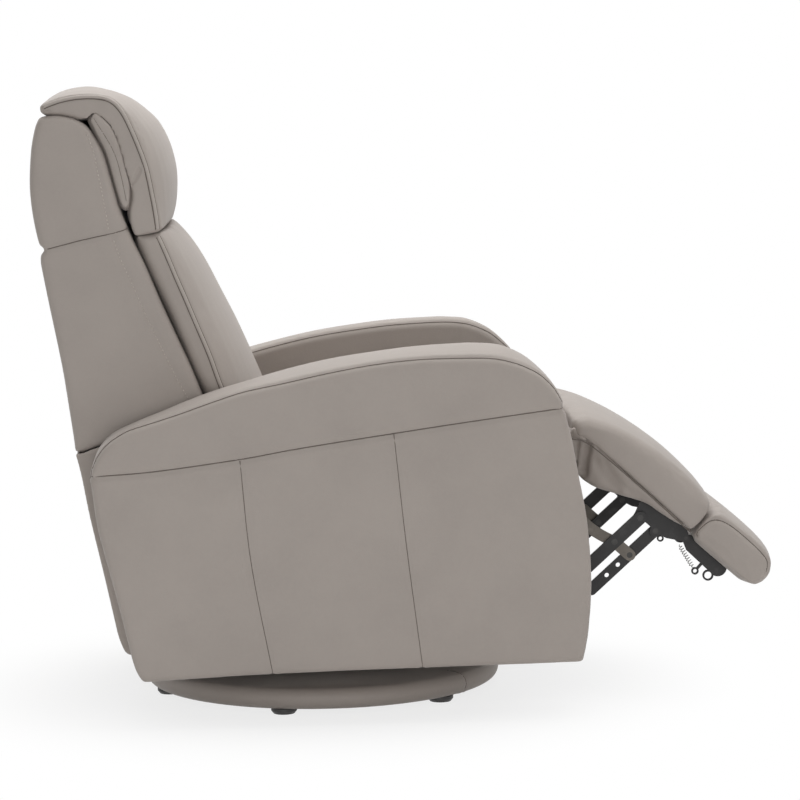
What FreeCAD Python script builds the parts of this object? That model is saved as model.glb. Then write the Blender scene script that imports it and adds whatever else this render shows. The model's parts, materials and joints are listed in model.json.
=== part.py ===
import FreeCAD, Part
import math
import os
import re
import Sketcher

V = FreeCAD.Vector

# Driving sizes in millimetres and degrees. X points forward, Y to the sitter's left, Z up from the floor.
SIZES = {
    # round upholstered base and its glides
    "base_radius": 306,
    "base_bottom": 10,
    "rim_top": 46,
    "rim_round": 16,
    "crown_top": 51,
    "rim_depth": 20,
    "board_bottom": 14,
    "board_top": 40,
    "board_hole": 28,
    "cover_fit": 0.3,
    "cover_tuck": 68,
    "cover_clear": 8,
    "glide_radius": 22,
    "glide_sole": 18,
    "glide_lip": 5,
    "glide_inset": 29,
    "glide_first": -106,
    # ball race under the turntable
    "race_radius": 138,
    "race_gauge": 6,
    "race_gap": 4,
    "ball_radius": 5,
    "ball_circle": 118,
    "kingpin_radius": 10,
    "kingpin_head": 20,
    "kingpin_depth": 7,
    "run_fit": 0.05,
    # rocker
    "axle_height": 112,
    "axle_radius": 10,
    "yoke_face": 100,
    "yoke_gauge": 6,
    "yoke_foot": 62,
    "yoke_head": 20,
    "flange_width": 34,
    "flange_half": 40,
    "ear_gap": 2,
    "ear_gauge": 6,
    "ear_top": 50,
    "ear_head": 22,
    "bush_wall": 4,
    "saddle_bottom": 150,
    "saddle_gauge": 6,
    "saddle_half_x": 150,
    "saddle_half_y": 112,
    "coil_x": 100,
    "coil_y": 46,
    "coil_radius": 17,
    "coil_wire": 2.5,
    "soft_gap": 0.3,
    # seat frame
    "arm_gap": 270,
    "seat_gap": 6,
    "seat_heel_x": -146,
    "seat_sole_x": 310,
    "tube_x": 122,
    "tube_width": 50,
    "tube_depth": 25,
    "tube_wall": 2,
    "link_gauge": 5,
    "layer_step": 6,
    "plate_clear": 21,
    "rail_width": 28,
    "rail_bottom": 336,
    "rail_top": 400,
    "rail_rear": -190,
    "rail_front": 345,
    "rail_gauge": 30,
    "wire_radius": 1.8,
    "wire_loop": 21,
    "wire_half_width": 18,
    "wire_pitch": 84,
    # arms
    "arm_inner_depth": 36,
    "arm_board_depth": 24,
    "arm_outer_depth": 58,
    "arm_edge_round": 9,
    "pad_side_inset": 2,
    # recline hinge and back
    "hinge_x": -230,
    "hinge_z": 300,
    "hinge_pin": 8,
    "hinge_hub": 17,
    "hub_front_angle": 30,
    "hub_rear_angle": 135,
    "hub_low_angle": 240,
    "pin_end": 2,
    "back_half": 262,
    "back_side_depth": 26,
    "post_rear": -345,
    "post_front": -315,
    "post_bottom": 512,
    "post_over": 16,
    "post_depth": 28,
    "back_rail_gauge": 20,
    "back_rail_height": 40,
    "back_rail_low": 520,
    "back_rail_high": 750,
    "back_edge_round": 6,
    "strap_gauge": 4,
    "strap_width": 30,
    "strap_y": 140,
    "strap_top": 940,
    "recess_half": 205,
    "recess_top": 972,
    "recess_over": 20,
    "lumbar_gap": 1.3,
    "gusset_depth": 26,
    # headrest hinge
    "rod_x": -266,
    "rod_z": 819.5,
    "rod_radius": 4,
    "rod_half": 136,
    "lug_head": 8,
    "lug_gauge": 4,
    "lug_y": 122,
    "lug_gap": 1,
    "head_half": 258,
    "head_board_half": 190,
    # footrest linkage
    "rest_angle": 42,
    "drive_x": 402.8,
    "drive_z": 348.3,
    "swing_reach": 120,
    "long_reach": 60,
    "guide_step": 36,
    "slot_low_angle": 83,
    "slot_high_angle": 9,
    "drive_radius": 10,
    "pin_radius": 5,
    "roller_wall": 1,
    "link_half": 10,
    "long_half": 11,
    "hub_radius": 13,
    "swing_bow": 10,
    "guide_tail": 148,
    "tail_hole": 4,
    "tail_pitch": 26,
    # footrest and toe section, in the footrest's own slanted frame
    "foot_half": 258,
    "board_line": 38,
    "foot_board_gauge": 12,
    "foot_board_half": 236,
    "foot_board_rear": -196,
    "foot_board_front": 74,
    "foot_shoulder": 52,
    "foot_heel_x": -200,
    "foot_sole_x": 72,
    "bracket_hub": 11,
    "toe_x": 84,
    "toe_z": 25,
    "toe_eye": 7,
    "toe_pin": 3,
    "toe_board_front": 214,
    "toe_heel_x": 80,
    "toe_tip_x": 224,
    "toe_tip_crown_x": 240,
    # release lever
    "lever_x": 292,
    "lever_z": 546,
    "bezel_radius": 26,
    "bezel_depth": 6,
    "lever_shaft": 7,
    "lever_depth": 7,
    "lever_length": 62,
    "lever_half": 9,
    "lever_flare": 3,
    "lever_heel": 4,
}

# Corner points as (x, z); a name in an outline that starts with ~ is the middle of an arc.
POINTS = {
    # arm panel, seen from the side
    "arm_heel": (-301, 80),
    "arm_toe": (415, 95),
    "arm_front_mid": (430, 255),
    "arm_front_top": (383, 518),
    "arm_seam_mid": (-50, 459),
    "arm_rear_top": (-387, 420),
    "arm_rear_mid": (-352, 250),
    # arm board
    "core_heel": (-294, 88),
    "core_toe": (407, 103),
    "core_front_mid": (422, 255),
    "core_top_front": (377, 509),
    "core_seam_mid": (-50, 451),
    "core_top_rear": (-378, 413),
    "core_rear_mid": (-344, 250),
    # arm pad: outer, middle and inner sections above the panel seam
    "pad_nose_outer_mid": (-368, 459),
    "pad_nose_outer": (-314, 494),
    "pad_long_outer_mid": (-70, 563),
    "pad_peak_outer": (205, 602),
    "pad_brow_outer_mid": (298, 593),
    "pad_brow_outer": (352, 562),
    "pad_drop_outer_mid": (372, 540),
    "pad_nose_crest_mid": (-376, 462),
    "pad_nose_crest": (-315, 503),
    "pad_long_crest_mid": (-60, 584),
    "pad_peak_crest": (228, 622),
    "pad_brow_crest_mid": (316, 606),
    "pad_brow_crest": (362, 569),
    "pad_drop_crest_mid": (379, 543),
    "pad_nose_inner_mid": (-372, 460),
    "pad_nose_inner": (-314, 498),
    "pad_long_inner_mid": (-64, 576),
    "pad_peak_inner": (222, 614),
    "pad_brow_inner_mid": (310, 600),
    "pad_brow_inner": (358, 566),
    "pad_drop_inner_mid": (377, 542),
    # rear skirt
    "skirt_top_rear": (-414.5, 436),
    "skirt_rear_mid": (-386, 288),
    "skirt_low_rear": (-346, 106),
    "skirt_low_mid": (-341, 98),
    "skirt_bottom": (-330, 96),
    "skirt_bottom_front": (-296, 98),
    "skirt_front_mid": (-316, 220),
    "skirt_front_top": (-352, 340),
    "skirt_neck": (-384, 384),
    "skirt_top_front": (-403, 430),
    # side plate
    "plate_heel": (-150, 181),
    "plate_sole": (150, 181),
    "plate_toe_rear": (384, 97),
    "plate_toe": (416, 97),
    "plate_rear_top": (-190, 394),
    "plate_front_top": (338, 396),
    # seat cushion, side and middle sections
    "seat_front_low_mid": (339, 416),
    "seat_front": (350, 446),
    "seat_lip_mid": (339, 474),
    "seat_lip": (308, 484),
    "seat_top_mid": (90, 472),
    "seat_rear_top": (-146, 446),
    "seat_front_crown": (352, 450),
    "seat_lip_crown_mid": (341, 489),
    "seat_lip_crown": (302, 505),
    "seat_top_crown_mid": (90, 492),
    "seat_rear_crown": (-146, 452),
    # lumbar cushion, side and middle sections
    "lumbar_low_rear": (-176, 474),
    "lumbar_low": (-137, 474),
    "lumbar_front_mid": (-208, 648),
    "lumbar_shoulder": (-252, 764),
    "lumbar_shoulder_mid": (-263, 790),
    "lumbar_top": (-278, 806),
    "lumbar_top_rear": (-319, 808),
    "lumbar_low_crown": (-72, 474),
    "lumbar_front_crown_mid": (-140, 648),
    "lumbar_shoulder_crown": (-192, 752),
    "lumbar_shoulder_crown_mid": (-222, 789),
    "lumbar_top_crown": (-262, 806),
    # back side panel
    "shell_corner": (-416, 438),
    "shell_arc_mid": (-371, 484),
    "shell_arc_end": (-309, 517.5),
    "shell_inner_low": (-262, 472),
    "shell_front_low": (-178, 472),
    "shell_front_mid": (-246, 648),
    "shell_front_top": (-321, 812),
    "shell_neck": (-462, 780),
    "shell_rear_mid": (-440, 598),
    "shell_neck_mid": (-467, 752),
    "shell_shoulder": (-465, 728),
    # steel arms that carry the back from its hinge
    "strut_waist_rear": (-302, 490),
    "strut_neck_rear": (-308, 519),
    "strut_root_rear": (-340, 548),
    "strut_top_rear": (-340, 632),
    "strut_top_front": (-312, 632),
    "strut_root_front": (-312, 562),
    "strut_waist_front": (-280, 500),
    # back rear panel
    "rear_low_inner": (-388, 468),
    "rear_inner_mid": (-411, 606),
    "rear_top_inner": (-432, 787),
    # head block, side and middle sections
    "block_neck": (-461, 784),
    "block_front_low": (-322, 818),
    "block_front_mid": (-334, 862),
    "block_front": (-352, 930),
    "block_brow_mid": (-374, 976),
    "block_brow": (-402, 998),
    "block_top": (-452, 1001),
    "block_top_mid": (-466, 996),
    "block_nape": (-472, 978),
    "block_nape_mid": (-481, 890),
    "block_top_crown": (-454, 1003),
    "block_top_crown_mid": (-470, 997),
    "block_nape_crown": (-476, 978),
    "block_nape_crown_mid": (-486, 890),
    # head gusset leaf between block and pad
    "gusset_low": (-325, 840),
    "gusset_rear_mid": (-347, 926),
    "gusset_rear": (-386, 1000),
    "gusset_top_mid": (-374, 1003),
    "gusset_top": (-364, 996),
    "gusset_front_mid": (-338, 922),
    # head pad, side and middle sections
    "head_rear_low": (-318, 834),
    "head_rear_mid": (-324, 906),
    "head_rear_top": (-352, 1006),
    "head_fold": (-352, 1031),
    "head_brow_mid": (-328, 1022),
    "head_brow": (-313, 992),
    "head_front_mid": (-290, 915),
    "head_chin": (-276, 829),
    "head_fold_crown": (-352, 1047),
    "head_brow_crown_mid": (-302, 1024),
    "head_brow_crown": (-266, 986),
    "head_front_crown_mid": (-240, 910),
    "head_chin_crown": (-251, 831),
    # head flap, side and middle sections
    "flap_rear": (-457, 1007),
    "flap_tip_mid": (-461, 1013),
    "flap_tip": (-457, 1019),
    "flap_top_mid": (-402, 1030),
    "flap_tip_crown_mid": (-467, 1016),
    "flap_tip_crown": (-459, 1027),
    "flap_top_crown_mid": (-402, 1050),
    # head board
    "hb_low_front": (-319, 848),
    "hb_top_front": (-341, 962),
    "hb_top_rear": (-351, 962),
    "hb_low_rear": (-329, 848),
    # headrest hinge plates
    "lug_root_rear": (-365, 790),
    "lug_root_front": (-345, 790),
    "lug_throat": (-338, 811.5),
    "lug_brow": (-342, 829),
    "wing_heel": (-338, 822),
    "wing_toe": (-322, 812),
    "wing_neck": (-319.5, 829),
    "wing_low": (-329, 848),
    "wing_top": (-336.2, 885),
    "wing_top_rear": (-348, 885),
    # footrest pad, side and middle sections, from the bracket pivot
    "foot_rear_mid": (-203, 56),
    "foot_rear": (-196, 62),
    "foot_top_mid": (-60, 66),
    "foot_front": (62, 62),
    "foot_front_mid": (71, 58),
    "foot_rear_quarter_mid": (-222, 62),
    "foot_rear_quarter": (-208, 80),
    "foot_top_quarter_mid": (-60, 111),
    "foot_front_quarter": (58, 96),
    "foot_front_quarter_mid": (72, 82),
    "foot_rear_crown_mid": (-228, 64),
    "foot_rear_crown": (-212, 84),
    "foot_top_crown_mid": (-60, 118),
    "foot_front_crown": (60, 106),
    "foot_front_crown_mid": (75, 92),
    # wedge under the seat end of the footrest
    "wedge_top_rear": (-192, 38),
    "wedge_rear": (-190, 16),
    "wedge_heel_mid": (-176, 0),
    "wedge_heel": (-142, -8),
    "wedge_sole": (-96, -8),
    "wedge_front": (-42, 20),
    "wedge_top_front": (-42, 38),
    # footrest bracket and toe bracket
    "bracket_back": (-17, 20),
    "bracket_top_back": (-2, 38),
    "bracket_top_front": (74, 38),
    "bracket_belly": (58, 3),
    "toe_bracket_top": (94, 38),
    "toe_bracket_top_front": (166, 38),
    "toe_bracket_nose_mid": (176, 22),
    "toe_bracket_nose": (164, 8),
    "toe_bracket_belly": (100, 10),
    # toe pad, side and middle sections
    "toe_rear_top": (82, 80),
    "toe_rear_top_mid": (84, 85),
    "toe_seam": (90, 88),
    "toe_seam_mid": (150, 92),
    "toe_brow": (190, 88),
    "toe_nose_mid": (218, 74),
    "toe_rear_crown": (82, 92),
    "toe_rear_crown_mid": (85, 99),
    "toe_crown": (92, 103),
    "toe_crown_mid": (150, 109),
    "toe_brow_crown": (192, 106),
    "toe_nose_crown_mid": (233, 92),
}

GLIDES = 6
BALLS = 24
COIL_TURNS = 5
SINUOUS_SPRINGS = 5
SIDES = {"left": 1, "right": -1}
FACING = {"left": "", "right": "-"}

doc = FreeCAD.newDocument("swivel_rocker_recliner")
sheet = doc.addObject("Spreadsheet::Sheet", "sizes")
nodes = []


def fill_sheet():
    cells = dict(SIZES)
    for name, (x, z) in POINTS.items():
        cells[name + "_x"] = x
        cells[name + "_z"] = z
    for row, (name, number) in enumerate(cells.items(), start=1):
        sheet.set(f"A{row}", name)
        sheet.set(f"B{row}", str(number))
        sheet.setAlias(f"B{row}", name)
    doc.recompute()
    return set(cells)


# Sizes that follow from others: the board fills the base cover, the cover clears the race, the steel plates
# stand inside the sides of the back and its posts end above the neck.
DERIVED = {
    "board_radius": "(base_radius - rim_depth)",
    "cover_hole": "(race_radius + cover_clear)",
    "plate_y": "(back_half - back_side_depth - plate_clear)",
    "post_top": "(shell_neck_z + post_over)",
}
ALIASES = fill_sheet()
WORD = re.compile(r"[A-Za-z_][A-Za-z_0-9]*")


def bound(text):
    """Expression text in which each size name points at its cell."""
    whole = WORD.sub(lambda word: DERIVED.get(word.group(), word.group()), str(text))
    return WORD.sub(lambda word: ("sizes." if word.group() in ALIASES else "") + word.group(), whole)


def size(text):
    """Number that an expression of size names comes to."""
    return float(sheet.evalExpression(bound(text)))


def tie(item, **expressions):
    """Bind properties such as Length or Placement__Base__x to expressions of size names."""
    for name, text in expressions.items():
        item.setExpression(name.replace("__", "."), bound(text))


def node(item, label):
    """Keep the object as a sub-part under its own label."""
    item.Label = label
    nodes.append(item)
    return item


def pair(point):
    """The two expressions of a named point, or of a pair that is given as expressions."""
    return (point + "_x", point + "_z") if isinstance(point, str) else point


def fix_point(sketch, place, point):
    """Hold a sketch point at the two expressions of an outline point."""
    for kind, text in zip(("DistanceX", "DistanceY"), pair(point)):
        index = sketch.addConstraint(Sketcher.Constraint(kind, -1, 1, *place, size(text)))
        sketch.setExpression(f"Constraints[{index}]", bound(text))


def flat(point):
    x, z = pair(point)
    return V(size(x), size(z), 0)


def is_middle(point):
    return isinstance(point, str) and point.startswith("~") or isinstance(point, tuple) and len(point) == 3


def bare(point):
    return point.lstrip("~") if isinstance(point, str) else point[:2]


def draw(sketch, outline, holes=()):
    """Closed outline of lines and arcs through points, and round holes, all tied to the sheet."""
    corners = [i for i, point in enumerate(outline) if not is_middle(point)]
    ends = []
    for start, stop in zip(corners, corners[1:] + corners[:1]):
        first, last = outline[start], outline[stop]
        middle = [outline[i] for i in range(start + 1, stop if stop > start else len(outline))]
        a, b = flat(first), flat(last)
        if middle:
            m = flat(bare(middle[0]))
            edge = sketch.addGeometry(Part.Arc(a, m, b), False)
            turns_left = (m - a).cross(b - m).z > 0
            point = sketch.addGeometry(Part.Point(m), True)
            sketch.addConstraint(Sketcher.Constraint("PointOnObject", point, 1, edge))
            fix_point(sketch, (point, 1), bare(middle[0]))
            ends.append((edge, 1, 2) if turns_left else (edge, 2, 1))
        else:
            edge = sketch.addGeometry(Part.LineSegment(a, b), False)
            ends.append((edge, 1, 2))
        fix_point(sketch, (ends[-1][0], ends[-1][1]), first)
    for (edge, _, end), (after, begin, _) in zip(ends, ends[1:] + ends[:1]):
        sketch.addConstraint(Sketcher.Constraint("Coincident", edge, end, after, begin))
    for centre, radius in holes:
        circle = sketch.addGeometry(Part.Circle(flat(centre), V(0, 0, 1), size(radius)), False)
        fix_point(sketch, (circle, 3), centre)
        index = sketch.addConstraint(Sketcher.Constraint("Radius", circle, size(radius)))
        sketch.setExpression(f"Constraints[{index}]", bound(radius))


def slab(label, outline, depth, middle, holes=(), rounding=None):
    """Body with a side outline, as deep as given across Y about its middle, its rims rounded if asked."""
    body = doc.addObject("PartDesign::Body", label)
    sketch = body.newObject("Sketcher::SketchObject", label + "_outline")
    plane = next(f for f in body.Origin.OriginFeatures if f.Role == "XZ_Plane")
    sketch.AttachmentSupport = [(plane, "")]
    sketch.MapMode = "FlatFace"
    draw(sketch, outline, holes)
    pad = body.newObject("PartDesign::Pad", label + "_pad")
    pad.Profile = sketch
    pad.SideType = "Symmetric"
    tie(pad, Length=depth)
    tie(body, Placement__Base__y=middle)
    if rounding:
        radius, face_y = rounding
        doc.recompute()
        rim = size(depth) / 2 * face_y
        edges = [
            f"Edge{i}"
            for i, edge in enumerate(pad.Shape.Edges, start=1)
            if abs(edge.BoundBox.YMin - rim) < 1e-4 and abs(edge.BoundBox.YMax - rim) < 1e-4
        ]
        fillet = body.newObject("PartDesign::Fillet", label + "_rim")
        fillet.Base = (pad, edges)
        tie(fillet, Radius=radius)
    return body


def aim(item, x, z, turn):
    """Stand a slab's own frame at a pivot, turned about Y so that its X points along the link."""
    item.Placement = FreeCAD.Placement(item.Placement.Base, FreeCAD.Rotation(V(0, 1, 0), 1))
    tie(item, Placement__Base__x=x, Placement__Base__z=z, Placement__Rotation__Angle=turn)
    return item


def block(label, x0, x1, y0, y1, z0, z1):
    box = doc.addObject("Part::Box", label)
    tie(box, Length=f"({x1}) - ({x0})", Width=f"({y1}) - ({y0})", Height=f"({z1}) - ({z0})")
    tie(box, Placement__Base__x=x0, Placement__Base__y=y0, Placement__Base__z=z0)
    return box


def disc(label, radius, z0, z1, x="0", y="0"):
    round_bar = doc.addObject("Part::Cylinder", label)
    tie(round_bar, Radius=radius, Height=f"({z1}) - ({z0})")
    tie(round_bar, Placement__Base__x=x, Placement__Base__y=y, Placement__Base__z=z0)
    return round_bar


def crossbar(label, radius, x, z, y0, y1):
    """Round bar along Y."""
    bar = doc.addObject("Part::Cylinder", label)
    bar.Placement = FreeCAD.Placement(V(), FreeCAD.Rotation(V(1, 0, 0), -90))
    tie(bar, Radius=radius, Height=f"({y1}) - ({y0})")
    tie(bar, Placement__Base__x=x, Placement__Base__y=y0, Placement__Base__z=z)
    return bar


def cut(label, base, tool):
    result = doc.addObject("Part::Cut", label)
    result.Base = base
    result.Tool = tool
    return result


def fuse(label, *items):
    result = doc.addObject("Part::MultiFuse", label)
    result.Shapes = list(items)
    return result


def group(label, items):
    bundle = doc.addObject("Part::Compound", label)
    bundle.Links = list(items)
    return node(bundle, label)


def section(label, outline, y):
    """Loose side outline at a station across Y."""
    sketch = doc.addObject("Sketcher::SketchObject", label)
    sketch.Placement = FreeCAD.Placement(V(), FreeCAD.Rotation(V(1, 0, 0), 90))
    draw(sketch, outline)
    tie(sketch, Placement__Base__y=y)
    return sketch


def cushion(label, stations):
    """Soft solid lofted through side outlines, so that its crown rises between its sides."""
    loft = doc.addObject("Part::Loft", label)
    loft.Sections = [section(f"{label}_{i}", outline, y) for i, (outline, y) in enumerate(stations)]
    loft.Solid = True
    loft.Ruled = False
    return loft


def both(side, y0, y1):
    """Y limits from the inner and outer distance, mirrored for the right side."""
    return (y0, y1) if side == "left" else (f"-({y1})", f"-({y0})")


def revolve(label, outline):
    """Body turned about Z from a profile of radius and height."""
    body = doc.addObject("PartDesign::Body", label)
    sketch = body.newObject("Sketcher::SketchObject", label + "_profile")
    plane = next(f for f in body.Origin.OriginFeatures if f.Role == "XZ_Plane")
    sketch.AttachmentSupport = [(plane, "")]
    sketch.MapMode = "FlatFace"
    draw(sketch, outline)
    turn = body.newObject("PartDesign::Revolution", label + "_turn")
    turn.Profile = sketch
    turn.ReferenceAxis = (sketch, ["V_Axis"])
    turn.Angle = 360
    return body


RACE_BOTTOM = "board_top + race_gauge + race_gap"
RACE_TOP = "board_top + 2 * race_gauge + race_gap"
BALL_HEIGHT = "board_top + race_gauge + race_gap / 2"
RIM_MIDDLE = "(base_bottom + rim_top) / 2"


def make_base():
    board = cut(
        "base_board_cut",
        disc("base_board_disc", "board_radius - cover_fit", "board_bottom", "board_top"),
        disc("base_board_bore", "board_hole", "board_bottom", "board_top"),
    )
    node(board, "base_board")
    rim = "base_radius - rim_round"
    profile = [
        ("base_radius - cover_tuck", "base_bottom"),
        (rim, "base_bottom"),
        ("base_radius", RIM_MIDDLE, "arc"),
        (rim, "rim_top"),
        ("(base_radius + cover_hole) / 2", "(rim_top + 2 * crown_top) / 3", "arc"),
        ("cover_hole", "crown_top"),
        ("cover_hole", "board_top"),
        ("board_radius", "board_top"),
        ("board_radius", "board_bottom"),
        ("base_radius - cover_tuck", "board_bottom"),
    ]
    node(revolve("base_cover_body", profile), "base_cover")
    glides = []
    for i in range(GLIDES):
        turn = f"glide_first + {i} * 360 / {GLIDES}"
        x, y = f"(base_radius - glide_inset) * cos({turn})", f"(base_radius - glide_inset) * sin({turn})"
        lip = disc(f"glide_lip_{i}", "glide_radius", "base_bottom - glide_lip", "base_bottom", x, y)
        sole = doc.addObject("Part::Cone", f"glide_sole_{i}")
        tie(sole, Radius1="glide_sole", Radius2="glide_radius", Height="base_bottom - glide_lip")
        tie(sole, Placement__Base__x=x, Placement__Base__y=y)
        glides.append(fuse(f"glide_{i}", lip, sole))
    group("base_glides", glides)


def race(label, z0, z1, bore):
    whole = disc(label + "_disc", "race_radius", z0, z1)
    plate = cut(label + "_plate", whole, disc(label + "_bore", bore, z0, z1))
    groove = doc.addObject("Part::Torus", label + "_groove")
    tie(groove, Radius1="ball_circle", Radius2="ball_radius + run_fit", Placement__Base__z=BALL_HEIGHT)
    return node(cut(label + "_grooved", plate, groove), label)


def make_swivel():
    race("swivel_lower_race", "board_top", "board_top + race_gauge", "kingpin_radius")
    race("swivel_upper_race", RACE_BOTTOM, RACE_TOP, "kingpin_radius + run_fit")
    balls = []
    for i in range(BALLS):
        ball = doc.addObject("Part::Sphere", f"ball_{i}")
        tie(ball, Radius="ball_radius", Placement__Base__z=BALL_HEIGHT)
        tie(ball, Placement__Base__x=f"ball_circle * cos({i} * 360 / {BALLS})")
        tie(ball, Placement__Base__y=f"ball_circle * sin({i} * 360 / {BALLS})")
        balls.append(ball)
    group("swivel_balls", balls)
    low, high = "board_top - kingpin_depth", f"{RACE_TOP} + kingpin_depth"
    head = disc("kingpin_head_disc", "kingpin_head", low, "board_top")
    shank = disc("kingpin_shank", "kingpin_radius", low, high)
    nut = disc("kingpin_nut", "kingpin_head", f"{RACE_TOP} + run_fit", high)
    node(fuse("kingpin_whole", head, shank, nut), "kingpin")


def biarc(p0, t0, p1, t1):
    """Two arcs that leave p0 along t0 and reach p1 along t1."""
    v, t = p1 - p0, t0 + t1
    spread = 2 * (1 - t0.dot(t1))
    d = (-v.dot(t) + math.sqrt(v.dot(t) ** 2 + spread * v.dot(v))) / spread
    joint = (p0 + p1 + (t0 - t1) * d) * 0.5

    def arc(start, along, end):
        chord = end - start
        sideways = chord - along * chord.dot(along)
        half = math.atan2(sideways.Length, chord.dot(along))
        across = sideways * (1 / sideways.Length)
        radius = chord.Length / (2 * math.sin(half))
        middle = start + along * (radius * math.sin(half)) + across * (radius * (1 - math.cos(half)))
        return Part.Arc(start, middle, end).toShape()

    return [arc(p0, t0, joint), arc(joint, (joint - p0 - t0 * d).normalize(), p1)]


def coil_spring(x, y, low, high):
    """Coil of round wire about Z, and its least gap between turns."""
    radius, wire = size("coil_radius"), size("coil_wire")
    rise = (high - low) / COIL_TURNS
    steps = COIL_TURNS * 4
    points, tangents = [], []
    for i in range(steps + 1):
        a = math.pi / 2 * i
        points.append(V(x + radius * math.cos(a), y + radius * math.sin(a), low + rise * i / 4))
        tangents.append(V(-radius * math.sin(a), radius * math.cos(a), rise / (2 * math.pi)).normalize())
    edges = []
    for i in range(steps):
        edges += biarc(points[i], tangents[i], points[i + 1], tangents[i + 1])
    path = Part.Wire(edges)
    ring = Part.Wire(Part.Circle(points[0], tangents[0], wire).toShape())
    gap = min((points[i] - points[i + 4]).Length for i in range(steps - 3)) - 2 * wire
    return path.makePipeShell([ring], True, False), gap


def make_rocker():
    yokes, ears, bushes = [], [], []
    for side in SIDES:
        sign = FACING[side]
        web = slab(
            f"yoke_web_{side}",
            [
                ("yoke_foot", RACE_TOP),
                ("yoke_head", "axle_height"),
                ("0", "axle_height + yoke_head", "arc"),
                ("-yoke_head", "axle_height"),
                ("-yoke_foot", RACE_TOP),
            ],
            "yoke_gauge",
            f"{sign}(yoke_face + yoke_gauge / 2)",
            [(("0", "axle_height"), "axle_radius")],
        )
        low, high = both(side, "yoke_face - flange_width", "yoke_face")
        foot_top = f"{RACE_TOP} + yoke_gauge"
        foot = block(f"yoke_foot_{side}", "-flange_half", "flange_half", low, high, RACE_TOP, foot_top)
        yokes.append(fuse(f"yoke_{side}", web, foot))
        ear_middle = "yoke_face - ear_gap - ear_gauge / 2"
        web = slab(
            f"ear_web_{side}",
            [
                ("ear_top", "saddle_bottom"),
                ("-ear_top", "saddle_bottom"),
                ("-ear_head", "axle_height"),
                ("0", "axle_height - ear_head", "arc"),
                ("ear_head", "axle_height"),
            ],
            "ear_gauge",
            f"{sign}({ear_middle})",
            [(("0", "axle_height"), "axle_radius + run_fit + bush_wall")],
        )
        inner = "yoke_face - ear_gap - ear_gauge"
        low, high = both(side, f"{inner} - flange_width", inner)
        foot_low, foot_top = "saddle_bottom - ear_gauge", "saddle_bottom"
        foot = block(f"ear_flange_{side}", "-flange_half", "flange_half", low, high, foot_low, foot_top)
        ears.append(fuse(f"ear_{side}", web, foot))
        low, high = both(side, inner, "yoke_face - ear_gap")
        bore = "axle_radius + run_fit"
        outer = crossbar(f"bush_outer_{side}", f"{bore} + bush_wall", "0", "axle_height", low, high)
        inner_bar = crossbar(f"bush_bore_{side}", bore, "0", "axle_height", low, high)
        bushes.append(cut(f"bush_{side}", outer, inner_bar))
    group("rocker_yokes", yokes)
    group("saddle_ears", ears)
    group("rocker_bushes", bushes)
    reach = "yoke_face + yoke_gauge"
    node(crossbar("axle_bar", "axle_radius", "0", "axle_height", f"-({reach})", reach), "rocker_axle")
    half_x, half_y = "saddle_half_x", "saddle_half_y"
    top = "saddle_bottom + saddle_gauge"
    node(block("saddle", f"-{half_x}", half_x, f"-{half_y}", half_y, "saddle_bottom", top), "saddle_plate")
    low = size(f"{RACE_TOP} + coil_wire + soft_gap")
    high = size("saddle_bottom - coil_wire - soft_gap")
    coils = []
    for x in (size("coil_x"), -size("coil_x")):
        for y in (size("coil_y"), -size("coil_y")):
            coils.append(coil_spring(x, y, low, high))
    print("least gap in a rocker spring, mm:", round(min(gap for _, gap in coils), 2))
    springs = doc.addObject("Part::Feature", "rocker_coils")
    springs.Shape = Part.makeCompound([coil for coil, _ in coils])
    springs.Placement = FreeCAD.Placement()
    node(springs, "rocker_springs")


TUBE_BOTTOM = "saddle_bottom + saddle_gauge"
TUBE_TOP = "saddle_bottom + saddle_gauge + tube_depth"
RAIL_OUTER = "plate_y - link_gauge / 2"
RAIL_INNER = "plate_y - link_gauge / 2 - rail_width"


def make_seat_frame():
    tubes = []
    for end, sign in (("front", ""), ("rear", "-")):
        middle = f"{sign}tube_x"
        low, high = f"{middle} - tube_width / 2", f"{middle} + tube_width / 2"
        outside = block(f"tube_{end}_outside", low, high, "-arm_gap", "arm_gap", TUBE_BOTTOM, TUBE_TOP)
        inside = block(
            f"tube_{end}_inside",
            f"{low} + tube_wall",
            f"{high} - tube_wall",
            "-arm_gap",
            "arm_gap",
            f"{TUBE_BOTTOM} + tube_wall",
            f"{TUBE_TOP} - tube_wall",
        )
        tubes.append(cut(f"tube_{end}", outside, inside))
    group("cross_tubes", tubes)
    rails = []
    for side in SIDES:
        width = both(side, RAIL_INNER, RAIL_OUTER)
        rails.append(block(f"seat_rail_{side}", "rail_rear", "rail_front", *width, "rail_bottom", "rail_top"))
    group("seat_rails", rails)
    ends = (("rail_front - rail_gauge", "rail_front"), ("rail_rear", "rail_rear + rail_gauge"))
    group(
        "seat_cross_rails",
        [
            block(f"cross_rail_{i}", x0, x1, f"-({RAIL_INNER})", RAIL_INNER, "rail_bottom", "rail_top")
            for i, (x0, x1) in enumerate(ends)
        ],
    )


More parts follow.
